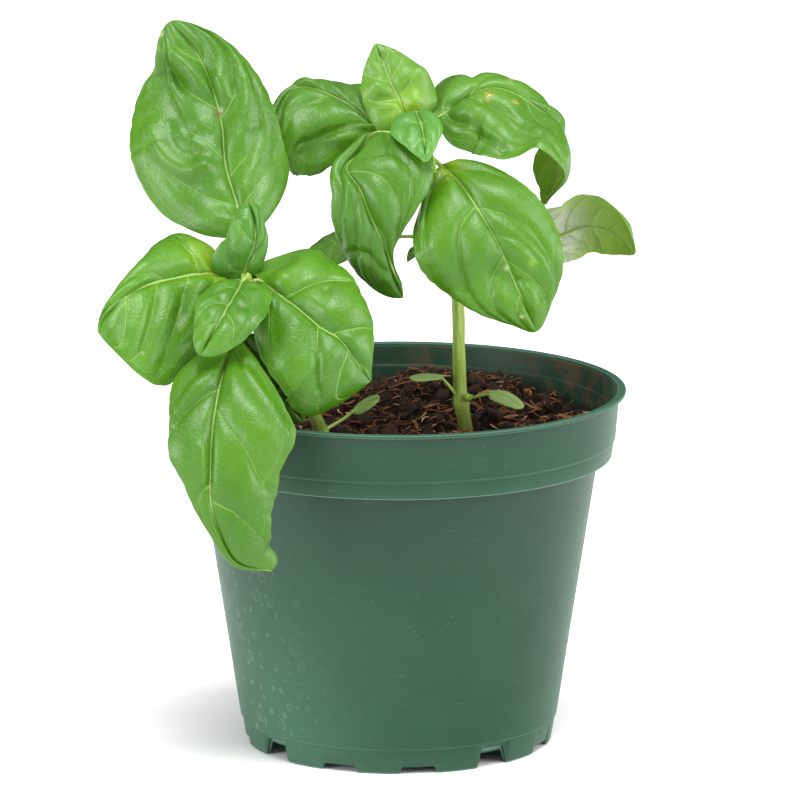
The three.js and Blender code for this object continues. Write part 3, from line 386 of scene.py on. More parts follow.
    "leaf_l_top_back": dict(
        size=SMALL, tone=(-0.25, 0), petiole=[(-50.5, -38, 166.4), (-51.2, -36.2, 168.8)],
        midrib=[(-51.5, -38, 170.2), (-50.6, -39.5, 173), (-48, -40, 179.8), (-48, -38.5, 186),
                (-50.2, -35, 193)], face=[(0.15, -0.9, 0.4), (0.1, -1, 0.1)],
        left=(11, 12, 10, 7.6, 3.8), right=(6, 5.5, 4.8, 3.5, 3.2), bend=((24, 16), (10, 48)),
        left_veins=[(0, 0, 0.25, 0.62), (0.4, 0.5, 0.65, 0.85)],
        right_veins=[(0.2, 0.35, 0.5, 0.7), (0.5, 0.62, 0.8, 1)], lobes=(4.5, 6),
        folds=[(1.1, -0.6, [(0.56, -0.93), (0.36, -0.8), (0.12, -0.48)]),
               (2.3, 0.8, [(0.71, -0.5), (0.28, -0.47)])],
    ),
    "leaf_l_top_front": dict(
        size=SMALL, tone=(-0.15, 0.05), petiole=[(-50.5, -38, 166.4), (-51.4, -41.5, 168)],
        midrib=[(-52, -46, 168), (-54.5, -55, 165), (-57, -62, 162), (-60.5, -68, 156.5),
                (-65.5, -71, 148)], face=[(-0.1, -0.75, 0.65), (-0.1, -0.95, 0.3)],
        left=(10.8, 12.5, 13, 9.4, 5.2), right=(5.8, 10.5, 10.9, 7.7, 4), bend=((20, 30), (20, 30)),
        wave=(1, 2.2, 0.1), left_veins=[(0.15, 0.27, 0.45, 0.75), (0.52, 0.6, 0.72, 0.9)],
        right_veins=[(0.12, 0.22, 0.4, 0.6), (0.41, 0.46, 0.6, 0.8), (0.66, 0.74, 0.85, 0.95)],
        folds=[(1.8, -0.8, [(0.4, 0.28)]), (2.1, -1.3, [(0.42, -0.35)]), (1.8, -0.8, [(0.12, -0.45)]),
               (1.8, -0.7, [(0.66, 0.55)]), (1, -0.5, [(0.42, 0.07), (0.5, 0.47), (0.62, 0.77)]),
               (1, -0.5, [(0.36, -0.03), (0.44, -0.5)]), (1, -0.5, [(0.56, -0.08), (0.64, -0.5)])],
    ),
    "leaf_l_low": dict(
        # Its lightness of -0.5 is painted shade, darkening this leaf that hangs behind the others.
        size=SMALL, tone=(0, -0.5), petiole=[(-46.5, -34, 156.5), (-49.5, -41, 153.5)],
        midrib=[(-52, -46, 149.5), (-45.5, -49, 142), (-39, -52, 132.5), (-32, -53, 121.5)],
        face=[(-0.1, -0.9, 0.4), (0, -1, 0.2)], left=(4, 7.5, 8, 6.5, 3), bend=((10, 30), (10, 30)),
        marks=[("yellow", 0.95, 0, 5)],
    ),
    "seed_leaf_l": dict(
        size=TINY, tone=(1.5, -0.2), petiole=[(-26, -8.5, 108.5), (-19, -5, 112)],
        midrib=[(-15, -4, 115), (-11, -7, 118), (-6.5, -10, 120.5)],
        face=[(-0.1, -0.6, 0.8), (0, -0.7, 0.7)], left=(2, 2.8, 2.8, 2.5, 1.5),
        right=(2, 3.2, 3.2, 2.5, 1.5), bend=((5, 20), (5, 20)), lobes=(1.5, 0.5),
    ),
}


# ------------------------------------------------------------------ meshes
class Shape:
    """Grids of points in millimetres, faces, and values at the points, to become one piece."""

    def __init__(self):
        self.blocks, self.faces, self.slots, self.count = [], [], [], 0

    def add(self, points, faces, slots=0, **values):
        """Values are one for all the points, or spread over the grid by numpy's rules."""
        self.faces += [tuple(i + self.count for i in face) for face in faces]
        self.slots += slots if isinstance(slots, list) else [slots] * len(faces)
        self.blocks.append((points, values))
        self.count += points.size // 3

    def build(self, name, materials):
        mesh = bpy.data.meshes.new(name)
        points = np.concatenate([grid.reshape(-1, 3) for grid, _ in self.blocks])
        mesh.from_pydata(in_frame(points).tolist(), [], self.faces)
        for material in materials:
            mesh.materials.append(material)
        mesh.polygons.foreach_set("material_index", self.slots)
        for key in dict.fromkeys(key for _, values in self.blocks for key in values):
            kind, field, end = ("FLOAT_VECTOR", "vector", None) if key in VECTORS else ("FLOAT", "value", -1)
            held = [np.broadcast_to(values.get(key, 0.0), grid.shape[:end]).ravel()
                    for grid, values in self.blocks]
            attribute = mesh.attributes.new(key, kind, "POINT")
            attribute.data.foreach_set(field, np.concatenate(held).astype(np.float32))
        mesh.shade_smooth()
        mesh.validate()
        mesh.update()
        made = bpy.data.objects.new(name, mesh)
        bpy.context.scene.collection.objects.link(made)
        return made


def in_frame(points):
    return np.asarray(points, float) * MM + POT_AXIS


def dress(shape, name, materials, slot, *nodes):
    """Builds a piece that stands for its CAD nodes and hides them. The slot is not used."""
    piece = shape.build(name, materials)
    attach(piece, "root")
    if nodes:
        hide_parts(*nodes)


def unit(vectors):
    vectors = np.asarray(vectors, float)
    return vectors / np.maximum(np.linalg.norm(vectors, axis=-1, keepdims=True), SMALLEST)


def spaced_curve(points, shares):
    """Points at those shares of the length of a centripetal Catmull-Rom curve, and its length."""
    given = np.asarray(points, float)
    held = np.vstack([2 * given[0] - given[1], given, 2 * given[-1] - given[-2]])
    knots = np.append(0, np.cumsum(np.sqrt(np.linalg.norm(np.diff(held, axis=0), axis=1))))
    drawn = []
    for first in range(len(held) - 3):
        row, knot = held[first : first + 4], knots[first : first + 4]
        t = np.linspace(knot[1], knot[2], CURVE_STEPS, endpoint=False)[:, None]
        for spans in (((0, 1), (1, 2), (2, 3)), ((0, 2), (1, 3)), ((1, 2),)):
            row = [((knot[high] - t) * a + (t - knot[low]) * b) / (knot[high] - knot[low])
                   for (low, high), a, b in zip(spans, row, row[1:])]
        drawn.append(row[0])
    drawn = np.vstack(drawn + [given[-1:]])
    run = np.append(0, np.cumsum(np.linalg.norm(np.diff(drawn, axis=0), axis=1)))
    at = np.asarray(shares) * run[-1]
    return np.stack([np.interp(at, run, drawn[:, k]) for k in range(3)], 1), run[-1]


def spread(values, shares):
    """Values spread evenly over 0 to 1, read at those shares."""
    values = np.atleast_1d(np.asarray(values, float))
    places = np.linspace(0, 1, len(values))
    if values.ndim == 1:
        return np.interp(shares, places, values)
    return np.stack([np.interp(shares, places, column) for column in values.T], -1)


def full_turn(sides):
    return np.linspace(0, 2 * math.pi, sides, endpoint=False)


def tube(centres, first, radii, angles, oval=1.0):
    """Rings of points round a line. They start at the way `first` and don't twist along it."""
    tangents = unit(np.gradient(centres, axis=0))
    across = [unit(first - tangents[0] * np.dot(first, tangents[0]))]
    for tangent in tangents[1:]:
        across.append(unit(across[-1] - tangent * np.dot(across[-1], tangent)))
    over = np.cross(tangents, across)[:, None]
    ring = oval * np.cos(angles)[:, None] * np.array(across)[:, None] + np.sin(angles)[:, None] * over
    return centres[:, None] + ring * np.asarray(radii)[..., None]


def ring_faces(rows, sides):
    """Quads between neighbouring rings of points."""
    return [(row + side, row + (side + 1) % sides, row + sides + (side + 1) % sides, row + sides + side)
            for row in range(0, (rows - 1) * sides, sides) for side in range(sides)]


def tube_faces(rows, sides):
    ends = [tuple(range(sides))[::-1], tuple(range((rows - 1) * sides, rows * sides))]
    return ring_faces(rows, sides) + ends


def ripple(flat, length, seed, count=9):
    """A smooth random height of about -1 to 1 over flat places, with waves near that length."""
    draw = np.random.default_rng(seed)
    total = np.zeros(len(flat))
    for _ in range(count):
        angle = draw.uniform(0, 2 * math.pi)
        number = 2 * math.pi / (length * draw.uniform(0.7, 1.5))
        along = flat[:, 0] * math.cos(angle) + flat[:, 1] * math.sin(angle)
        total += np.sin(along * number + draw.uniform(0, 2 * math.pi))
    return total / math.sqrt(count)


# ------------------------------------------------------------------ materials
class Nodes:
    """Short ways to add nodes to a tree."""

    def __init__(self, tree):
        self.tree = tree

    def feed(self, socket, value):
        if isinstance(value, bpy.types.NodeSocket):
            self.tree.links.new(value, socket)
        elif isinstance(value, tuple) and len(value) == 3 and len(socket.default_value) == 4:
            socket.default_value = (*value, 1)
        else:
            socket.default_value = value

    def node(self, kind, inputs, output=0, **settings):
        """An output of a new node that has those settings, and values or links at its inputs."""
        made = self.tree.nodes.new("ShaderNode" + kind)
        for key, value in settings.items():
            setattr(made, key, value)
        for key, value in inputs.items():
            self.feed(made.inputs[key], value)
        return made.outputs[output]

    def math(self, operation, *values):
        return self.node("Math", dict(enumerate(values)), operation=operation)

    def vector(self, operation, *values):
        return self.node("VectorMath", dict(enumerate(values)), operation=operation)

    def times(self, first, second):
        return self.math("MULTIPLY", first, second)

    def band(self, value, low, high):
        """0 where the value is at low and 1 where it is at high, with a smooth change between."""
        inputs = {"Value": value, "From Min": low, "From Max": high}
        return self.node("MapRange", inputs, interpolation_type="SMOOTHSTEP")

    def mix(self, share, first, second):
        return self.node("Mix", {0: share, 6: first, 7: second}, 2, data_type="RGBA")

    def coats(self, color, *layers):
        """Lays (mask, strength, colour) layers over a colour."""
        for mask, strength, over in layers:
            color = self.mix(self.times(mask, strength), color, over)
        return color

    def kept(self, name):
        """A value that the piece keeps at its points."""
        return self.node("Attribute", {}, "Vector" if name in VECTORS else "Fac", attribute_name=name)

    def where(self):
        return self.node("TexCoord", {}, "Object")

    def noise(self, vector, scale, detail=2.0, rough=0.5):
        inputs = {"Vector": vector, "Scale": scale, "Detail": detail, "Roughness": rough}
        return self.node("TexNoise", inputs, "Fac")

    def cells(self, vector, scale, feature="F1"):
        return self.node("TexVoronoi", {"Vector": vector, "Scale": scale}, "Distance", feature=feature)

    def bent(self, vector, scale, reach):
        """Places pushed about by noise."""
        push = self.vector("MULTIPLY", self.noise(vector, scale), (reach, reach, 0.0))
        return self.vector("ADD", vector, push)

    def total(self, *parts):
        """A sum of (value, weight) parts."""
        result = 0.0
        for value, weight in parts:
            result = self.math("MULTIPLY_ADD", value, weight, result)
        return result


class Material(Nodes):
    """A Principled material. Its keywords are the shader's sockets, with _ for a space."""

    def __init__(self, name, **sockets):
        self.made = bpy.data.materials.new(name)
        self.made.use_nodes = True
        super().__init__(self.made.node_tree)
        self.tree.nodes.clear()
        self.shader = self.tree.nodes.new("ShaderNodeBsdfPrincipled")
        self.out = self.tree.nodes.new("ShaderNodeOutputMaterial")
        self.feed(self.out.inputs["Surface"], self.shader.outputs[0])
        self.set(**sockets)

    def set(self, **sockets):
        for key, value in sockets.items():
            self.feed(self.shader.inputs[key.replace("_", " ")], value)

    def bump(self, height, distance, strength):
        normal = self.node("Bump", {"Height": height, "Distance": distance, "Strength": strength})
        self.set(Normal=normal)
        return normal

    def let_light_through(self, share, color, normal):
        """Mixes in a Translucent shader, as thin leaf tissue needs."""
        through = self.node("BsdfTranslucent", {"Color": color, "Normal": normal})
        both = self.node("MixShader", {0: share, 1: self.shader.outputs[0], 2: through})
        self.feed(self.out.inputs["Surface"], both)


def vein_lines(m, wide):
    """Masks of the side veins, the midrib, the loops that join the veins, and two nets of veins."""
    phase, gap, across, flat = m.kept("phase"), m.kept("gap"), m.kept("across"), m.kept("flat")
    offset = m.math("ABSOLUTE", m.math("SUBTRACT", phase, m.math("ROUND", phase)))
    thin = m.math("MULTIPLY_ADD", across, -0.55 * wide, wide)
    side = m.band(m.math("DIVIDE", m.times(offset, gap), thin), 1.0, 0.25)
    side = m.times(side, m.times(m.band(across, 1.0, 0.72), m.band(gap, 1.5, 5.0)))
    rib = m.math("DIVIDE", m.math("ABSOLUTE", m.kept("rib")), m.kept("rib_width"))
    arch = m.times(m.math("ABSOLUTE", m.math("SINE", m.times(phase, math.pi))), 0.1)
    loop = m.math("ABSOLUTE", m.math("SUBTRACT", across, m.math("ADD", arch, 0.76)))
    bent = m.bent(flat, 0.35, 2.0)
    return dict(
        flat=flat, across=across, side=side, midrib=m.band(rib, 0.95, 0.3), loop=m.band(loop, 0.02, 0.004),
        coarse=m.band(m.cells(bent, 0.2, "DISTANCE_TO_EDGE"), 0.05, 0.0),
        fine=m.band(m.cells(bent, 0.62, "DISTANCE_TO_EDGE"), 0.09, 0.0),
    )


def leaf_upper():
    m = Material("leaf_upper_side", Specular_IOR_Level=0.45)
    veins = vein_lines(m, 0.55)
    flat, young = veins["flat"], m.kept("pale")
    pebbles = m.cells(flat, 1.5)
    vein_light = (0.22, 0.42, 0.07)
    broad = m.band(m.noise(flat, 0.045), 0.3, 0.7)
    color = m.coats(
        m.mix(broad, (0.035, 0.127, 0.0003), (0.058, 0.177, 0.001)),
        (m.band(pebbles, 0.2, 0.6), 0.14, (0.030, 0.118, 0.001)),
        (m.noise(flat, 0.8, 3.0), 0.22, (0.10, 0.27, 0.012)),
        (m.band(young, 0.0, 1.0), 1.0, (0.15, 0.31, 0.035)),
        (m.band(young, 1.0, 2.0), 1.0, (0.27, 0.38, 0.12)),
        (m.band(young, 0.0, -1.0), 1.0, (0.085, 0.285, 0.075)),
        (m.band(veins["across"], 0.965, 1.0), 0.4, (0.18, 0.34, 0.05)),
        (veins["fine"], 0.05, (0.15, 0.36, 0.05)),
        (veins["coarse"], 0.07, (0.17, 0.38, 0.06)),
        (veins["loop"], 0.12, vein_light),
        (veins["side"], 0.36, vein_light),
        (veins["midrib"], 0.7, (0.31, 0.48, 0.12)),
        (m.kept("yellow"), 0.55, (0.25, 0.40, 0.012)),
        (m.kept("white"), 0.7, (0.62, 0.68, 0.38)),
        (m.times(m.kept("tan"), m.band(m.noise(flat, 1.3, 3.0), 0.4, 0.6)), 1.0, (0.46, 0.34, 0.09)),
        (m.kept("brown"), 0.9, (0.12, 0.05, 0.010)),
    )
    lighter = m.math("ADD", m.kept("light"), 1.0)
    color = m.node("VectorMath", {0: color, "Scale": lighter}, operation="SCALE")
    rough = m.total((m.noise(flat, 3.0, 3.0), 0.10), (m.noise(flat, 0.12), 0.10), (1.0, 0.24))
    m.set(Base_Color=color, Roughness=rough)
    height = m.total(
        (veins["midrib"], -0.4), (veins["side"], -0.22), (veins["loop"], -0.05), (veins["coarse"], -0.05),
        (veins["fine"], -0.04), (pebbles, -0.06), (m.noise(flat, 3.2), 0.04), (m.noise(flat, 0.45), 0.03),
    )
    m.let_light_through(0.12, (0.12, 0.34, 0.004), m.bump(height, 0.0006, 1.0))
    return m.made


def leaf_under():
    m = Material("leaf_under_side", Roughness=0.55, Specular_IOR_Level=0.35)
    veins = vein_lines(m, 0.8)
    flat = veins["flat"]
    m.set(Base_Color=m.coats(
        m.mix(m.band(m.noise(flat, 0.06), 0.3, 0.7), (0.42, 0.66, 0.05), (0.50, 0.74, 0.09)),
        (m.noise(flat, 0.9, 3.0), 0.4, (0.33, 0.50, 0.16)),
        # Painted sheen: near-white patches laid over the underside's green.
        (m.kept("wax"), 1.0, (0.90, 0.95, 0.74)),
        (veins["coarse"], 0.25, (0.32, 0.48, 0.18)),
        (veins["side"], 0.4, (0.46, 0.60, 0.25)),
        (veins["midrib"], 0.7, (0.50, 0.62, 0.25)),
    ))
    grain = m.noise(flat, 1.4, 3.0)
    height = m.total((veins["side"], 0.5), (veins["coarse"], 0.3), (veins["fine"], 0.15), (grain, 0.2))
    m.let_light_through(0.45, (0.56, 0.86, 0.06), m.bump(height, 0.0006, 0.9))
    return m.made


def stalk(name, base, stripe, foot):
    """Stems and petioles: ribs of lighter tissue along them, darker and browner near the soil."""
    m = Material(name, Roughness=0.45, Specular_IOR_Level=0.4)
    path = m.node("CombineXYZ", {0: m.kept("around"), 1: m.times(m.kept("along"), 0.03)})
    lines = m.band(m.noise(path, 2.2, 3.0, 0.6), 0.38, 0.66)
    m.set(Base_Color=m.coats(
        m.mix(lines, base, stripe),
        (m.kept("foot"), 0.9, foot),
        (m.kept("joint"), 0.6, (0.34, 0.52, 0.09)),
        (m.band(m.cells(m.where(), 420.0), 0.12, 0.05), 0.25, (0.10, 0.12, 0.03)),
    ))
    m.bump(m.total((lines, 0.5), (m.noise(m.where(), 1500.0), 0.2)), 0.0003, 0.7)
    return m.made


def pot_plastic():
    m = Material("pot_plastic", Specular_IOR_Level=0.16, Sheen_Weight=0.11, Sheen_Roughness=0.35,
                 Sheen_Tint=(0.4, 1.0, 0.7))
    wrap = m.kept("wrap")
    broad = m.band(m.noise(wrap, 0.03, 3.0, 0.6), 0.3, 0.7)
    scuffs = m.noise(m.vector("MULTIPLY", wrap, (0.25, 1.6, 1.0)), 0.5, 5.0, 0.7)
    dust = m.times(m.band(m.cells(wrap, 0.55), 0.10, 0.03), m.band(m.noise(wrap, 0.09), 0.52, 0.62))
    large, small = dried_drops(m, wrap, 0.13, 0.12, 0.27, 0.1), dried_drops(m, wrap, 0.26, 0.08, 0.24, 0.3)
    mark = m.times(m.math("MAXIMUM", large, small), m.kept("splash"))
    soiled = m.times(m.kept("stain"), m.band(m.noise(wrap, 0.16, 5.0, 0.7), 0.40, 0.62))
    color = m.coats(
        m.mix(broad, (0.0082, 0.0400, 0.0185), (0.0120, 0.0510, 0.0250)),
        # Painted light: a lighter green patch low on the front left stands in for lamp light falling there.
        (m.kept("haze"), 0.52, (0.082, 0.200, 0.128)),
        # Painted shade: darker green just under the lip and under the collar.
        (m.kept("nook"), 0.65, (0.004, 0.014, 0.008)),
        # Painted highlights: lighter lines along the bends of the outline.
        (m.kept("edge"), 0.5, (0.20, 0.34, 0.27)),
        (m.band(scuffs, 0.60, 0.74), 0.08, (0.22, 0.34, 0.28)),
        (dust, 0.45, (0.40, 0.46, 0.38)),
        (mark, 0.75, (0.42, 0.58, 0.50)),
        # Painted shade: the inner wall is made much darker than the outside.
        (m.kept("inside"), 0.75, (0.008, 0.026, 0.015)),
        (soiled, 0.85, (0.062, 0.042, 0.024)),
    )
    rough = m.total((m.noise(wrap, 0.5, 4.0, 0.65), 0.16), (mark, 0.2), (soiled, 0.3), (1.0, 0.37))
    m.set(Base_Color=color, Roughness=rough)
    drawn = m.noise(m.vector("MULTIPLY", wrap, (0.05, 1.0, 1.0)), 0.8, 3.0)
    m.bump(m.total((m.noise(m.where(), 700.0, 3.0), 0.3), (drawn, 0.5), (mark, 0.3)), 0.0002, 0.35)
    return m.made


def dried_drops(m, wrap, scale, smallest, largest, filled):
    """Marks of drops of hard water: uneven rings, partly open, some with a pale middle."""
    inputs = {"Vector": m.bent(wrap, 0.7, 1.4), "Scale": scale}
    spots = m.node("TexVoronoi", inputs, "Distance", feature="F1", voronoi_dimensions="2D")
    chance = m.node("SeparateColor", {0: spots.node.outputs["Color"]}).node.outputs
    radius = m.math("MULTIPLY_ADD", chance[0], largest - smallest, smallest)
    ring = m.math("ABSOLUTE", m.math("SUBTRACT", spots, radius))
    ring = m.band(ring, scale * DROP_LINE, 0.2 * scale * DROP_LINE)
    ring = m.times(ring, m.band(m.noise(wrap, 0.5), 0.36, 0.56))
    inner = m.times(m.math("LESS_THAN", spots, radius), filled)
    return m.times(m.math("MAXIMUM", ring, inner), m.math("GREATER_THAN", chance[1], 0.6))


def earth(name, dark, light, scale, rough=0.95):
    m = Material(name, Roughness=rough, Specular_IOR_Level=0.16)
    grain = m.band(m.noise(m.where(), scale, 5.0, 0.7), 0.3, 0.7)
    m.set(Base_Color=m.mix(m.total((grain, 0.5), (m.kept("tone"), 0.5)), dark, light))
    m.bump(m.noise(m.where(), scale * 1.7, 5.0, 0.75), 0.0008, 0.9)
    return m.made


def bark(name, dark, light):
    m = Material(name, Roughness=0.8, Specular_IOR_Level=0.3)
    lines = m.noise(m.vector("MULTIPLY", m.kept("flat"), (0.25, 2.5, 1.0)), 1.6, 4.0, 0.65)
    share = m.total((m.band(lines, 0.35, 0.65), 0.55), (m.kept("tone"), 0.45))
    m.set(Base_Color=m.mix(share, dark, light))
    m.bump(lines, 0.0006, 0.9)
    return m.made


# ------------------------------------------------------------------ leaves
def half_widths(widths, shares):
    """A smooth curve through five half widths, with their places packed towards both ends."""
    place = np.arccos(1 - 2 * np.clip(shares, 0, 1)) / math.pi * 6
    knots = np.array([-widths[0], 0, *widths, 0, -widths[-1]], float)
    knot = np.clip(np.floor(place).astype(int), 0, 5)
    t = place - knot
    a, b, c, d = (knots[knot + step] for step in range(4))
    curve = 2 * b + (c - a) * t + (2 * a - 5 * b + 4 * c - d) * t**2 + (3 * b - a - 3 * c + d) * t**3
    return np.maximum(curve / 2, LEAST_HALF_WIDTH)


def vein_phase(leaf, side, share, v):
    """A number that is whole on each side vein and runs evenly between them, and the gap there."""
    steps = np.linspace(0, 1, 4)
    veins = leaf.get(side + "_veins")
    if not veins:
        veins = [start + DEFAULT_VEIN_REACH * (1 - start) * steps**1.3 for start in DEFAULT_VEIN_STARTS]
    lines = [np.interp(v, steps, one) for one in veins]
    lines = [np.minimum(lines[0] - 0.2, -0.05), *lines, np.maximum(lines[-1] + 0.2, 1.1)]
    phase, gap = np.zeros_like(share), np.full_like(share, 0.2)
    for number, (low, high) in enumerate(zip(lines, lines[1:])):
        high = np.maximum(high, low + 0.02)
        inside = (share >= low) & (share <= high)
        phase = np.where(inside, number + (share - low) / (high - low), phase)
        gap = np.where(inside, high - low, gap)
    return np.where(share > lines[-1], len(lines) - 1, phase), gap


def crenation(run, width, seed):
    """Small blunt teeth of the margin."""
    draw = np.random.default_rng(seed)
    pitch = draw.uniform(*TOOTH_PITCH)
    tooth = np.abs(np.sin(math.pi * run / pitch + draw.uniform(0, 3))) - 0.6
    grown = np.clip(width / TOOTH_FULL_WIDTH, 0, 1) * np.interp(run / run[-1], [0, 0.25, 0.5], [0, 0.4, 1])
    return tooth * TOOTH_HEIGHT * grown


def leaf_surface(leaf, seed):
    """The blade's middle surface as a grid of points, where it faces, and values at its points."""
    columns = leaf["size"]["columns"]
    even = np.linspace(0, 1, leaf["size"]["rows"] + 1)
    share = 0.75 * (1 - np.cos(math.pi * even)) / 2 + 0.25 * even
    centres, length = spaced_curve(leaf["midrib"], share)
    tangents = unit(np.gradient(centres, share, axis=0))
    stiff = leaf.get("stiff", DEFAULT_STIFFNESS)
    forward = unit((1 - stiff) * tangents + stiff * unit(centres[-1] - centres[0]))
    face = unit(spread(unit(leaf["face"]), share))
    face = unit(face - forward * np.sum(face * forward, axis=1, keepdims=True))
    across = np.cross(forward, face)
    u, s = np.meshgrid(np.linspace(-1, 1, 2 * columns + 1), share)
    grid, (phase, gap, width) = np.zeros((*u.shape, 3)), np.zeros((3, *u.shape))
    high, waves, start = leaf.get("wave", (0, 0, 0))
    halves = (("left", -1, slice(0, columns)), ("right", 1, slice(columns, None)))
    for half, (side, sign, column) in enumerate(halves):
        v = np.abs(u[:, column])
        reach = half_widths(leaf.get(side, leaf["left"]), share)
        for nick_side, at, depth, wide in leaf.get("nicks", ()):
            if nick_side == sign:
                reach = reach - depth * np.exp(-(((share - at) / wide) ** 2))
        reach = np.maximum(reach + crenation(length * share, reach, seed + sign), LEAST_HALF_WIDTH)
        rise, droop = (np.radians(spread(slope, share))[:, None] for slope in leaf["bend"][half])
        slope = rise - (rise + droop) * v
        out = (np.sin(rise) - np.sin(slope)) / (rise + droop)
        up = (np.cos(slope) - np.cos(rise)) / (rise + droop)
        turn = 2 * math.pi * (waves * share + start * (LEFT_WAVE_SHIFT, 1)[half])
        wave = high * np.sin(turn) * np.minimum(1, reach / WAVE_FULL_WIDTH)
        lobe = leaf.get("lobes", (0, 0))[half] * np.exp(-share / LOBE_SPREAD)
        width[:, column] = reach[:, None]
        lift = width[:, column] * up + wave[:, None] * v**2
        grid[:, column] = (
            centres[:, None]
            - forward[:, None] * (lobe[:, None] * v**1.5)[..., None]
            + sign * across[:, None] * (width[:, column] * out)[..., None]
            + face[:, None] * lift[..., None]
        )
        phase[:, column], gap[:, column] = vein_phase(leaf, side, s[:, column], v)
    rib = u * width
    rib_width = np.interp(s, [0, 0.6, 1], [0.9, 0.55, 0.25])
    values = dict(phase=phase, gap=gap * length * 0.75, across=np.abs(u), rib=rib, rib_width=rib_width)
    return grid, face, values, dict(share=s, u=u, width=width, along=s * length, length=length)


def away_from(line, values, place):
    """How far each place of the blade lies from a line drawn on it."""
    flat = np.stack([place["along"], values["rib"]], -1)
    knots = []
    for at, way in line:
        width = np.interp(at, place["share"][:, 0], place["width"][:, 0 if way < 0 else -1])
        knots.append((at * place["length"], way * width, 0))
    if len(knots) > 2:
        knots = spaced_curve(knots, np.linspace(0, 1, FOLD_STEPS))[0]
    knots = np.array(knots)[:, :2]
    nearest = np.full(flat.shape[:2], np.inf)
    for first, last in zip(knots, knots[1:] if len(knots) > 1 else knots):
        along = last - first
        share = np.clip((flat - first) @ along / max(along @ along, SMALLEST), 0, 1)
        nearest = np.minimum(nearest, np.linalg.norm(flat - first - share[..., None] * along, axis=-1))
    return nearest


def leaf_relief(leaf, values, place, seed):
    """Height of the quilting over the middle surface: tissue bulges between sunken veins."""
    draw = np.random.default_rng(seed)
    phase, v, s = values["phase"], values["across"], place["share"]
    bulges = draw.uniform(*QUILT_RANGE, (2, 12))
    amount = bulges[(place["u"] > 0).astype(int), np.clip(np.floor(phase).astype(int), 0, 11)]
    swell = np.abs(np.sin(math.pi * phase)) ** 1.2 * amount
    free = np.clip(v / 0.22, 0, 1) ** 0.8 * (1 - 0.55 * v**2)
    hollow = RIB_HOLLOW * np.exp(-((values["rib"] / RIB_HOLLOW_WIDTH) ** 2))
    flat = np.stack([place["along"].ravel(), values["rib"].ravel()], 1)
    uneven = 0.18 * ripple(flat, 11.0, seed + 5) + 0.015 * ripple(flat, 3.6, seed + 6)
    height = np.minimum(QUILT_BY_GAP * values["gap"], QUILT_MOST) * swell * free
    height += uneven.reshape(s.shape) * free - hollow * np.interp(s, [0, 0.15, 0.8, 1], [0.3, 1, 0.5, 0])
    height *= leaf["size"]["relief"]
    for wide, high, line in leaf.get("folds", ()):
        height += high * np.exp(-((away_from(line, values, place) / wide) ** 2))
    return height * np.clip(s / 0.04, 0, 1) * np.clip((1 - s) / 0.12, 0, 1) * (1 - 0.75 * v**8)


def grid_normals(grid, like):
    """Directions off a grid of points, on the side that `like` is on."""
    normals = unit(np.cross(np.gradient(grid, axis=1), np.gradient(grid, axis=0)))
    return normals * np.sign(np.sum(normals * like))


def leaf_marks(leaf, place):
    """Masks of spots, of pale and yellow areas, and of painted sheen."""
    masks = {kind: np.zeros_like(place["share"]) for kind in MARKS}
    for kind, at, way, size in leaf.get("marks", ()):
        along, across = (place["share"] - at) * place["length"], (place["u"] - way) * place["width"]
        masks[kind] += np.exp(-(along**2 + across**2) / size**2)
    return {kind: np.clip(mask, 0, 1) for kind, mask in masks.items()}


def leaf_piece(name, leaf, seed, materials):
    grid, face, values, place = leaf_surface(leaf, seed)
    normals = grid_normals(grid, face[:, None])
    grid = grid + normals * leaf_relief(leaf, values, place, seed)[..., None]
    normals = grid_normals(grid, normals)
    thick = leaf["size"]["thick"] * normals * (1 - 0.45 * values["across"] ** 2)[..., None]
    rows, wide = grid.shape[:2]
    count = rows * wide
    quads = [(corner, corner + 1, corner + wide + 1, corner + wide)
             for first in range(0, count - wide, wide) for corner in range(first, first + wide - 1)]
    edge = [*range(wide), *range(2 * wide - 1, count, wide)]
    edge += [*range(count - 2, count - wide - 1, -1), *range(count - 2 * wide, 0, -wide)]
    rim = [(here, here + count, after + count, after) for here, after in zip(edge, edge[1:] + edge[:1])]
    under = [tuple(i + count for i in quad[::-1]) for quad in quads]
    flat = np.stack([place["along"], values["rib"], np.full_like(values["rib"], seed * 3.7)], -1)
    pale, light = leaf.get("tone", (0, 0))
    shape = Shape()
    shape.add(np.stack([grid + thick, grid - thick]), quads + rim + under,
              [0] * len(quads + rim) + [1] * len(under), flat=flat, pale=pale, light=light,
              **values, **leaf_marks(leaf, place))
    middle = wide // 2
    add_petiole(shape, leaf, grid[:, middle], normals[:, middle], place["share"][:, 0])
    dress(shape, name + "_skin", materials, "seed_leaf" if name.startswith("seed") else "leaf", name)


def add_petiole(shape, leaf, midrib, up, shares):
    """The petiole, and the midrib's ridge that it runs on as under the blade."""
    radius = leaf["size"]["petiole"]
    keel = midrib - up * (spread((0.55, 0.42, 0.3, 0.2), shares)[:, None] * radius)
    kept = keel[(shares > 0.03) & (shares < 0.93)][:: max(1, len(keel) // KEEL_ROWS)]
    start, length = spaced_curve([*leaf["petiole"], keel[0], kept[1]], np.linspace(0, 1, PETIOLE_ROWS))
    centres = np.vstack([start, kept[2:]])
    run = np.append(0, np.cumsum(np.linalg.norm(np.diff(centres, axis=0), axis=1)))
    radii = np.interp(run, [0, 0.12 * length, length, run[-1]], [1.35 * radius, radius, 0.8 * radius, 0.16])
    angles = full_turn(PETIOLE_SIDES)
    points = tube(centres, np.array([0.1, -0.9, 0.3]), radii[:, None], angles)
    shape.add(points, tube_faces(len(centres), PETIOLE_SIDES), 2, around=angles, along=run[:, None])


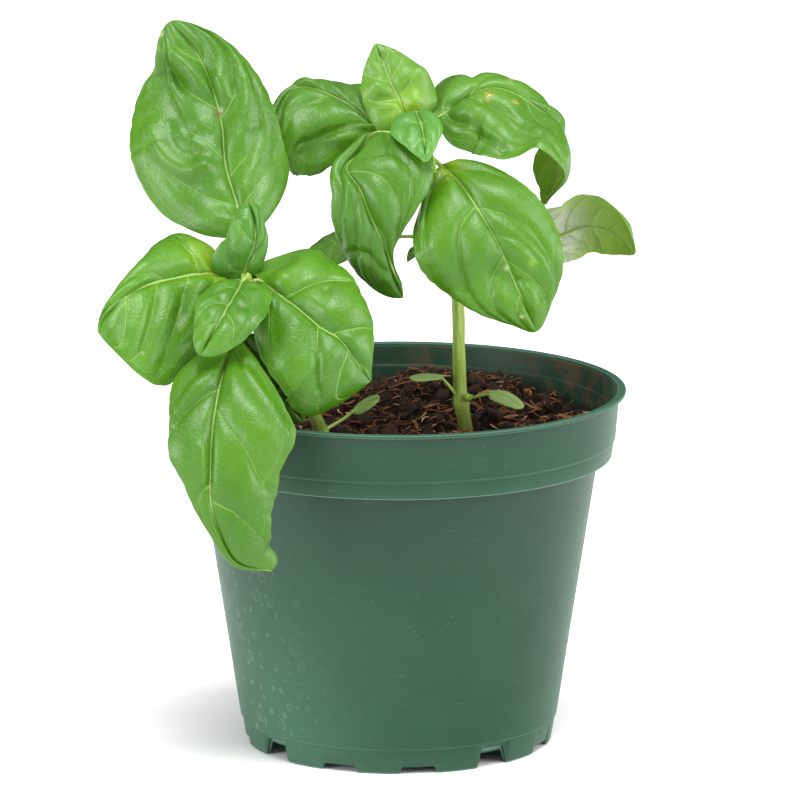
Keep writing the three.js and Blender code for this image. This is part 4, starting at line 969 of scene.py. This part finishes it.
# ------------------------------------------------------------------ stems
def add_bud(shape, base, axis, length, radius):
    """A growing tip: pairs of small folded leaves."""
    axis = unit(axis)
    side = unit(np.cross(axis, [0.3, 0.2, 0.9]))
    shares = np.linspace(0, 1, BUD_ROWS)
    radii = radius * np.sin(math.pi * np.clip(shares * 0.92 + 0.08, 0, 1)) ** 0.8 + 0.05
    for number in range(BUD_LEAVES):
        turned = np.array(Matrix.Rotation(number * math.pi / 2, 3, Vector(axis)) @ Vector(side))
        opening, reach = ((0.6, 1.0), (1.0, 0.7))[number % 2]
        lean = unit(axis + turned * BUD_OPENING * opening)
        centres = np.asarray(base) + lean * (shares * length * reach)[:, None] + turned * (0.35 * radius)
        points = tube(centres, turned, radii[:, None], full_turn(BUD_SIDES), BUD_FLATNESS)
        shape.add(points, tube_faces(BUD_ROWS, BUD_SIDES), joint=1.0)


def stem_piece(name, stem, material):
    shares = np.linspace(0, 1, STEM_ROWS)
    centres, length = spaced_curve(stem["line"], shares)
    run = shares * length
    joint = np.zeros(STEM_ROWS)
    for height in stem["nodes"]:
        at = run[np.argmin(np.abs(centres[:, 2] - height))]
        joint += np.exp(-(((run - at) / NODE_SPREAD) ** 2))
    joint = np.clip(joint, 0, 1)
    radii = spread(stem["radii"], shares) * (1 + NODE_SWELL * joint) * (1 + 0.02 * np.sin(run / 2.7))
    radii = radii * np.clip((length - run) / TIP_TAPER, 0.25, 1) ** 0.5
    angles = full_turn(STEM_SIDES)
    square = 1 + SQUARENESS * np.cos(4 * angles) + RIBBING * np.cos(13 * angles)
    points = tube(centres, np.array([1.0, -0.3, 0.0]), radii[:, None] * square, angles)
    foot = np.clip(1 - (centres[:, 2] - SOIL_LEVEL - 3) / 28, 0, 1) ** 1.6
    shape = Shape()
    shape.add(points, tube_faces(STEM_ROWS, STEM_SIDES), foot=foot[:, None], joint=joint[:, None],
              along=run[:, None], around=angles)
    add_bud(shape, centres[-8], centres[-1] - centres[-12], *TIP_BUD)
    for bud in stem.get("buds", ()):
        add_bud(shape, *bud)
    dress(shape, name + "_skin", [material], "stem", name)


# ------------------------------------------------------------------ pot
def rounded(corners, radius, steps=3):
    """An outline with each inner corner turned into a short curve."""
    made = [corners[0]]
    for before, corner, after in zip(corners, corners[1:], corners[2:]):
        before, corner, after = map(np.array, (before, corner, after))
        reach = min(radius, 0.4 * np.linalg.norm(before - corner), 0.4 * np.linalg.norm(after - corner))
        enter, leave = corner + unit(before - corner) * reach, corner + unit(after - corner) * reach
        for t in np.linspace(0, 1, steps + 1):
            made.append(tuple((1 - t) ** 2 * enter + 2 * t * (1 - t) * corner + t**2 * leave))
    return made + [corners[-1]]


def body_radius(height):
    share = (height - SEAM_HEIGHT) / (COLLAR_BOTTOM - SEAM_HEIGHT)
    return SEAM_RADIUS + STEP + (BODY_TOP_RADIUS - SEAM_RADIUS - STEP) * share


def collar_inside(height):
    share = (height - RIDGE_HEIGHT) / (LIP_UNDERSIDE - RIDGE_HEIGHT)
    return RIDGE_RADIUS + STEP + (COLLAR_TOP_RADIUS - RIDGE_RADIUS - STEP) * share - WALL


def signed(angles):
    """Angles in degrees, brought between -180 and 180."""
    return (angles + 180) % 360 - 180


def gap_lift(angles):
    """Height of the foot ring's lower edge at each angle, in degrees."""
    lift = np.zeros(len(angles))
    for tab, centre in enumerate(GAP_ANGLES):
        high, taper = (NOTCH_HEIGHT, GAP_TAPER) if tab % SLOT_EVERY else (SLOT_HEIGHT, 2 * GAP_TAPER)
        away = np.radians(np.abs(signed(angles - centre))) * FOOT_RADIUS
        climb = np.clip((GAP_WIDTH / 2 - away) / taper, 0, 1)
        lift = np.maximum(lift, high * climb * climb * (3 - 2 * climb))
    return lift


def pot_angles():
    """Angles of the pot's columns: even ones, and closer ones at the sides of gaps and drains."""
    marks = list(np.arange(POT_COLUMNS) * 360 / POT_COLUMNS - 180)
    near = [math.degrees((GAP_WIDTH / 2 + step) / FOOT_RADIUS) for step in GAP_COLUMNS]
    for tab, centre in enumerate(GAP_ANGLES):
        for way in near if tab % SLOT_EVERY else [*near, DRAIN_TURN]:
            marks += [centre + way, centre - way]
    kept = [-np.inf]
    for mark in sorted(signed(mark) for mark in marks):
        if mark - kept[-1] > NARROWEST_COLUMN:
            kept.append(mark)
    return np.array(kept[1:])


def pot_profile():
    """The pot's outline as (radius, height), from the floor's underside round to its top."""
    foot, ledge = FOOT_RADIUS - WALL, COLLAR_BOTTOM + WALL
    floor_radii = (DRAIN_INNER / 2, DRAIN_INNER, DRAIN_OUTER)
    inner_step = collar_inside(INNER_STEP_HEIGHT)
    wall = rounded([
        (DRAIN_OUTER, FLOOR_UNDERSIDE), (foot, FLOOR_UNDERSIDE), (foot, 0.0), (FOOT_RADIUS, 0.0),
        (SEAM_RADIUS, SEAM_HEIGHT), (SEAM_RADIUS + STEP, SEAM_HEIGHT + STEP),
        (BODY_TOP_RADIUS, COLLAR_BOTTOM), (COLLAR_RADIUS, COLLAR_BOTTOM), (RIDGE_RADIUS, RIDGE_HEIGHT),
        (RIDGE_RADIUS + STEP, RIDGE_HEIGHT + STEP), (COLLAR_TOP_RADIUS, LIP_UNDERSIDE),
        (LIP_RADIUS, LIP_UNDERSIDE), (LIP_RADIUS, POT_HEIGHT), (LIP_RADIUS - LIP_TOP_WIDTH, POT_HEIGHT),
        (LIP_RADIUS - LIP_WIDTH, POT_HEIGHT - LIP_DIP),
        (collar_inside(POT_HEIGHT) + STEP, POT_HEIGHT - LIP_DIP), (inner_step + STEP, INNER_STEP_HEIGHT),
        (inner_step, INNER_STEP_HEIGHT - STEP), (collar_inside(ledge), ledge),
        (body_radius(ledge) - WALL, ledge), (body_radius(FLOOR_TOP) - WALL, FLOOR_TOP),
        (DRAIN_OUTER, FLOOR_TOP),
    ], CORNER)
    under = [(radius, FLOOR_UNDERSIDE) for radius in floor_radii]
    return np.array(under + wall[1:-1] + [(radius, FLOOR_TOP) for radius in floor_radii[::-1]])


def pot_faces(rows, angles):
    """Faces of the turned outline, with the drains cut through the floor."""
    around = len(angles)
    low, high = 1, rows - 3
    middles = angles + (np.diff(angles, append=angles[0] + 360)) / 2
    drains = GAP_ANGLES[::SLOT_EVERY]
    cut = np.abs(signed(middles[:, None] - drains)).min(1) < DRAIN_TURN
    faces = [face for index, face in enumerate(ring_faces(rows, around))
             if not (index // around in (low, high) and cut[index % around])]
    for column in range(around):
        turned = (column + 1) % around
        if cut[column]:
            for inner, outer in ((low, high + 1), (high, low + 1)):
                faces.append((inner * around + turned, inner * around + column,
                              outer * around + column, outer * around + turned))
        if cut[column] != cut[column - 1]:
            loop = tuple(row * around + column for row in (low, low + 1, high, high + 1))
            faces.append(loop if cut[column] else loop[::-1])
    faces.append(tuple(range(around)))
    faces.append(tuple(range((rows - 1) * around, rows * around))[::-1])
    return faces


def pot_piece(material):
    angles, profile = pot_angles(), pot_profile()
    radians, lift = np.radians(angles), gap_lift(angles)
    out, height = profile.T
    lifted = height[:, None] + np.clip(1 - height / 1.2, 0, 1)[:, None] * lift
    foot = ((out > FOOT_RADIUS - 0.2) & (height < SEAM_HEIGHT))[:, None]
    lifted = np.where(foot, np.maximum(lifted, np.minimum(lift + 0.05, SEAM_HEIGHT)), lifted)
    radius = out[:, None] * np.ones_like(lifted)
    points = np.stack([radius * np.sin(radians), -radius * np.cos(radians), lifted], -1)
    wrap = np.stack([np.broadcast_to(radians * WRAP_RADIUS, lifted.shape), lifted, 0.4 * radius], -1)
    steps = unit(np.diff(profile, axis=0))
    turn = np.pad(np.clip(1 - np.sum(steps[1:] * steps[:-1], axis=1), 0, 0.13) / 0.13, 1)
    inside = np.arange(len(profile)) > np.argmax(height) + 4
    # Painted highlights along the outline's bends, weaker inside and on the lip's top.
    painted_edge_highlight = turn * np.where(inside, 0.3, 1) * np.where(height > LIP_UNDERSIDE - 0.2, 0.5, 1)
    # Painted shade under the lip and under the collar, on the outside only.
    under_lip = np.exp(-(((LIP_UNDERSIDE - height) / 0.8) ** 2)) * (height < LIP_UNDERSIDE + 0.1)
    under_collar = np.exp(-(((COLLAR_BOTTOM - height) / 1.2) ** 2)) * (out < COLLAR_RADIUS - 0.6)
    nook = np.where(inside, 0.0, np.maximum(under_lip, under_collar))
    splash = np.exp(-(((angles + 64) / 26) ** 2) - ((lifted - 42) / 34) ** 4)
    # Painted light: where the lighter green patch goes, low on the front left.
    haze = np.exp(-(((angles + 50) / 34) ** 2) - ((lifted - 30) / 46) ** 2)
    soil_line = np.clip((INNER_STEP_HEIGHT - lifted) / 12, 0, 1) * 0.5
    stain = np.exp(-(((angles - 116) / 30) ** 4)) + 0.8 * np.exp(-(((angles - 171) / 6) ** 2)) + soil_line
    stain = np.clip(stain, 0.12, 1) * inside[:, None]
    shape = Shape()
    shape.add(points, pot_faces(len(profile), angles), wrap=wrap, edge=painted_edge_highlight[:, None],
              inside=inside[:, None], nook=nook[:, None], splash=splash, haze=haze, stain=stain)
    dress(shape, "pot_shell", [material], "pot", "pot")


# ------------------------------------------------------------------ soil
def soil_height(x, y):
    slope = SOIL_SLOPE_X * x + SOIL_SLOPE_Y * y
    wall = SOIL_WALL_RISE * (np.hypot(x, y) / SOIL_EDGE) ** 6
    lumps = 0.7 * np.sin(0.31 * x + 0.9) * np.cos(0.27 * y) + 0.5 * np.sin(0.21 * x - 0.37 * y)
    return SOIL_LEVEL + slope + wall + MOUND_HEIGHT * on_mound(x, y) + lumps


def on_mound(x, y):
    return np.exp(-((x - MOUND_X) ** 2 + (y - MOUND_Y) ** 2) / (2 * MOUND_SPREAD**2))


def soil_bed(material):
    angles = full_turn(BED_SIDES)
    circle = np.stack([np.cos(angles), np.sin(angles)], 1)
    flat = (SOIL_EDGE * np.linspace(0, 1, BED_RINGS + 1)[1:, None, None] * circle).reshape(-1, 2)
    rough = 0.9 * ripple(flat, 9, 11) + 0.6 * ripple(flat, 4.2, 12) + 0.4 * ripple(flat, 2.1, 13, 14)
    top = np.column_stack([flat, soil_height(*flat.T) + rough - BED_DEPTH])
    ledge = COLLAR_BOTTOM + WALL + SOIL_GAP
    lower = []
    for radius, height in ((SOIL_EDGE - 0.1, ledge), (body_radius(ledge) - WALL - SOIL_GAP, ledge),
                           (body_radius(FLOOR_TOP) - WALL - SOIL_GAP, FLOOR_TOP + SOIL_GAP)):
        lower.append(np.column_stack([radius * circle, np.full(BED_SIDES, height)]))
    points = np.vstack([[0, 0, soil_height(0.0, 0.0) - BED_DEPTH], top, *lower])
    faces = [(0, 1 + side, 1 + (side + 1) % BED_SIDES) for side in range(BED_SIDES)]
    faces += [(1 + a, 1 + d, 1 + c, 1 + b) for a, b, c, d in ring_faces(BED_RINGS + 3, BED_SIDES)]
    faces.append(tuple(range(len(points) - BED_SIDES, len(points)))[::-1])
    shape = Shape()
    shape.add(points, faces, tone=0.3)
    dress(shape, "soil_bed", [material], "soil", "soil")


def ball():
    """Directions and triangles of a small round grain."""
    golden = (1 + math.sqrt(5)) / 2
    corners = [(a, b * golden) for b in (1, -1) for a in (-1, 1)]
    points = [(a, b, 0) for a, b in corners] + [(0, a, b) for a, b in corners]
    points += [(b, 0, a) for a, b in corners]
    faces = [(0, 11, 5), (0, 5, 1), (0, 1, 7), (0, 7, 10), (0, 10, 11), (1, 5, 9), (5, 11, 4),
             (11, 10, 2), (10, 7, 6), (7, 1, 8), (3, 9, 4), (3, 4, 2), (3, 2, 6), (3, 6, 8),
             (3, 8, 9), (4, 9, 5), (2, 4, 11), (6, 2, 10), (8, 6, 7), (9, 8, 1)]
    points = [np.array(point, float) for point in points]
    middles = {}

    def middle(a, b):
        key = (min(a, b), max(a, b))
        if key not in middles:
            middles[key] = len(points)
            points.append((points[a] + points[b]) / 2)
        return middles[key]

    finer = []
    for a, b, c in faces:
        ab, bc, ca = middle(a, b), middle(b, c), middle(c, a)
        finer += [(a, ab, ca), (b, bc, ab), (c, ca, bc), (ab, bc, ca)]
    return unit(np.array(points)), finer


def turned_at_random(draw, flatness):
    """A rotation: any way round, tilted from level by about `flatness` radians."""
    turns = (draw.uniform(0, 2 * math.pi), draw.normal(0, flatness), draw.normal(0, flatness))
    spin, roll, pitch = (Matrix.Rotation(turn, 3, axis) for turn, axis in zip(turns, "ZXY"))
    return np.array(spin @ (roll @ pitch))


def scattered(draw, count, reach, clear):
    """Places on the soil, away from the wall and the stems."""
    stems = [stem["line"][1] for stem in STEMS.values()]
    places = []
    while len(places) < count:
        x, y = draw.uniform(-SOIL_EDGE, SOIL_EDGE, 2)
        free = all(math.hypot(x - left, y - back) >= clear for left, back, _ in stems)
        if free and math.hypot(x, y) <= SOIL_EDGE - reach:
            places.append((x, y))
    return places


def crumbs(name, material, seed, count, smallest, largest, squash, sink):
    draw = np.random.default_rng(seed)
    directions, faces = ball()
    shape = Shape()
    for x, y in scattered(draw, count, largest * 1.3, 3.4):
        size = smallest + (largest - smallest) * draw.beta(1.2, 3.5 - 1.6 * on_mound(x, y))
        lumpy = 1 + 0.29 * draw.standard_normal(len(directions)).clip(-1.4, 1.4)[:, None]
        stretch = np.array([draw.uniform(0.65, 1.5), draw.uniform(0.7, 1.15), draw.uniform(squash, 1.0)])
        grain = (directions * lumpy * stretch * size) @ turned_at_random(draw, 0.5).T
        height = soil_height(x, y) - BED_DEPTH + size * draw.uniform(-sink, 0.55)
        shape.add(grain + [x, y, height], faces, tone=draw.uniform(0, 1))
    dress(shape, name, [material], "soil")


def slivers(name, material, seed, count, longest, slender):
    """Shreds of bark: flat, tapering, a little bent. slender is their width by their length."""
    draw = np.random.default_rng(seed)
    shape = Shape()
    run = np.linspace(-0.5, 0.5, BARK_ROWS)
    for x, y in scattered(draw, count, longest * 0.55, 3.6):
        if math.hypot(x - MOUND_X, y - MOUND_Y) < MOUND_BARE and draw.uniform() < BARE_SHARE:
            continue
        length = longest * draw.uniform(0.25, 1.0) ** 1.3
        width, thick = length * draw.uniform(*slender), length * draw.uniform(0.05, 0.12)
        taper = (1 - (2 * np.abs(run)) ** 3 * draw.uniform(0.3, 0.85)) * draw.uniform(0.85, 1.15, BARK_ROWS)
        bow = draw.normal(0, 0.12) * length * (4 * run**2 - 1)
        angles = full_turn(BARK_SIDES) + draw.uniform(0, 1)
        along = (run * length)[:, None] + draw.normal(0, 0.03 * length, (BARK_ROWS, BARK_SIDES))
        across = np.cos(angles) * (taper * width / 2)[:, None] + bow[:, None]
        points = np.stack([along, across, np.sin(angles) * (taper * thick / 2)[:, None]], -1)
        flat = points + draw.uniform(-50, 50, 3)
        points = points @ turned_at_random(draw, 0.28).T
        height = soil_height(x, y) + draw.uniform(-0.9, 1.3)
        faces = tube_faces(BARK_ROWS, BARK_SIDES)
        shape.add(points + [x, y, height], faces, tone=draw.uniform(0, 1), flat=flat)
    dress(shape, name, [material], "soil")


def fibres(name, material, seed, count):
    """Thin root fibres that lie over the soil."""
    draw = np.random.default_rng(seed)
    shape = Shape()
    for x, y in scattered(draw, count, 9, 3.6):
        length = draw.uniform(5, 14)
        heading = draw.uniform(0, 2 * math.pi)
        knots = []
        for _ in range(FIBRE_KNOTS):
            heading += draw.normal(0, 0.35)
            x, y = x + math.cos(heading) * length / 4, y + math.sin(heading) * length / 4
            back = min(1, (SOIL_EDGE - 1.5) / math.hypot(x, y))
            x, y = x * back, y * back
            knots.append((x, y, soil_height(x, y) + draw.uniform(-0.4, 1.6)))
        centres = spaced_curve(knots, np.linspace(0, 1, FIBRE_ROWS))[0]
        points = tube(centres, np.array([0.0, 0.2, 1.0]), draw.uniform(0.12, 0.24), full_turn(FIBRE_SIDES))
        shape.add(points, tube_faces(FIBRE_ROWS, FIBRE_SIDES), tone=draw.uniform(0, 1), flat=points)
    dress(shape, name, [material], "soil")


# ------------------------------------------------------------------ stage
def floor():
    made = bpy.data.meshes.new("floor")
    corners = [(x * FLOOR_HALF, y * FLOOR_HALF, 0) for x, y in ((-1, -1), (1, -1), (1, 1), (-1, 1))]
    made.from_pydata(corners, [], [(0, 1, 2, 3)])
    paper = Material("floor_paper", Roughness=0.9, Specular_IOR_Level=0.1)
    paper.set(Base_Color=paper.mix(paper.noise(paper.where(), 3.0), (0.96, 0.96, 0.96), (0.98, 0.98, 0.98)))
    made.materials.append(paper.made)
    plane = bpy.data.objects.new("floor", made)
    plane.location.z = float(cad_low.z) - FLOOR_DROP
    bpy.context.scene.collection.objects.link(plane)


def studio():
    """A white dome that is brightest overhead, and soft lamps."""
    world = bpy.data.worlds.new("studio")
    bpy.context.scene.world = world
    world.use_nodes = True
    sky = Nodes(world.node_tree)
    background = sky.tree.nodes["Background"]
    background.inputs["Color"].default_value = (1, 1, 1, 1)
    facing = sky.node(
        "VectorMath", {0: sky.node("TexCoord", {}, "Generated"), 1: Vector(BRIGHTEST).normalized()},
        "Value", operation="DOT_PRODUCT",
    )
    inputs = {"Value": facing, **dict(zip(("From Min", "From Max", "To Min", "To Max"), DOME))}
    strength = sky.node("MapRange", inputs, interpolation_type="SMOOTHSTEP")
    sky.feed(background.inputs["Strength"], strength)
    for name, (way, energy, width) in LAMPS.items():
        data = bpy.data.lights.new(name, "SUN")
        data.energy, data.angle = energy, math.radians(width)
        made = bpy.data.objects.new(name, data)
        made.rotation_euler = Vector(way).to_track_quat("Z", "Y").to_euler()
        bpy.context.scene.collection.objects.link(made)
    bpy.context.scene.view_settings.view_transform = "Standard"
    bpy.context.scene.view_settings.look = "None"


def camera():
    tilt = math.radians(CAMERA_ELEVATION)
    ahead = Vector((0, math.cos(tilt), -math.sin(tilt)))
    up = Vector((0, math.sin(tilt), math.cos(tilt)))
    right = Vector((1, 0, 0))
    aim = ahead * FOCAL_PIXELS + right * (PICTURE / 2 - PRINCIPAL_X) + up * (PRINCIPAL_Y - PICTURE / 2)
    data = bpy.data.cameras.new("camera")
    data.sensor_width = SENSOR
    data.lens = SENSOR * aim.length / PICTURE
    data.clip_start, data.clip_end = CLIP_NEAR, CLIP_FAR
    made = bpy.data.objects.new("camera", data)
    made.location = in_frame(Vector(CAMERA_TARGET) - ahead * CAMERA_DISTANCE)
    made.rotation_euler = aim.to_track_quat("-Z", "Y").to_euler()
    bpy.context.scene.collection.objects.link(made)
    bpy.context.scene.camera = made


# ------------------------------------------------------------------ the plant
camera()
studio()
floor()

pot_piece(pot_plastic())

soil_bed(earth("peat", (0.003, 0.0015, 0.001), (0.022, 0.010, 0.006), 260.0))
peat = earth("peat_crumbs", (0.003, 0.0016, 0.0012), (0.050, 0.024, 0.015), 420.0, 0.7)
crumbs("soil_crumbs_fine", peat, 21, 2300, 0.4, 1.5, 0.6, 0.3)
crumbs("soil_crumbs_coarse", peat, 22, 380, 1.2, 4.0, 0.6, 0.4)
red_bark = bark("red_bark", (0.030, 0.008, 0.003), (0.34, 0.125, 0.045))
brown_bark = bark("brown_bark", (0.06, 0.022, 0.009), (0.52, 0.27, 0.13))
pale_bark = bark("pale_bark", (0.22, 0.11, 0.05), (0.70, 0.46, 0.26))
slivers("soil_bark", red_bark, 23, 560, 8.0, (0.1, 0.3))
slivers("soil_bark_chips", brown_bark, 27, 110, 10.0, (0.2, 0.36))
slivers("soil_bark_pale", pale_bark, 24, 190, 5.0, (0.12, 0.3))
fibres("soil_fibres", red_bark, 25, 220)
grit = earth("grit", (0.30, 0.26, 0.22), (0.62, 0.58, 0.52), 600.0, 0.8)
crumbs("soil_grit", grit, 26, 60, 0.35, 0.9, 0.6, 0.0)

stem_skin = stalk("stem_skin", (0.240, 0.365, 0.045), (0.410, 0.540, 0.120), (0.105, 0.140, 0.018))
for stem_name, stem in STEMS.items():
    stem_piece(stem_name, stem, stem_skin)

petiole_skin = stalk("petiole_skin", (0.270, 0.410, 0.075), (0.410, 0.540, 0.140), (0.10, 0.14, 0.03))
leaf_skins = [leaf_upper(), leaf_under(), petiole_skin]
for number, (leaf_name, leaf) in enumerate(LEAVES.items()):
    leaf_piece(leaf_name, leaf, FIRST_SEED + SEED_STEP * number, leaf_skins)
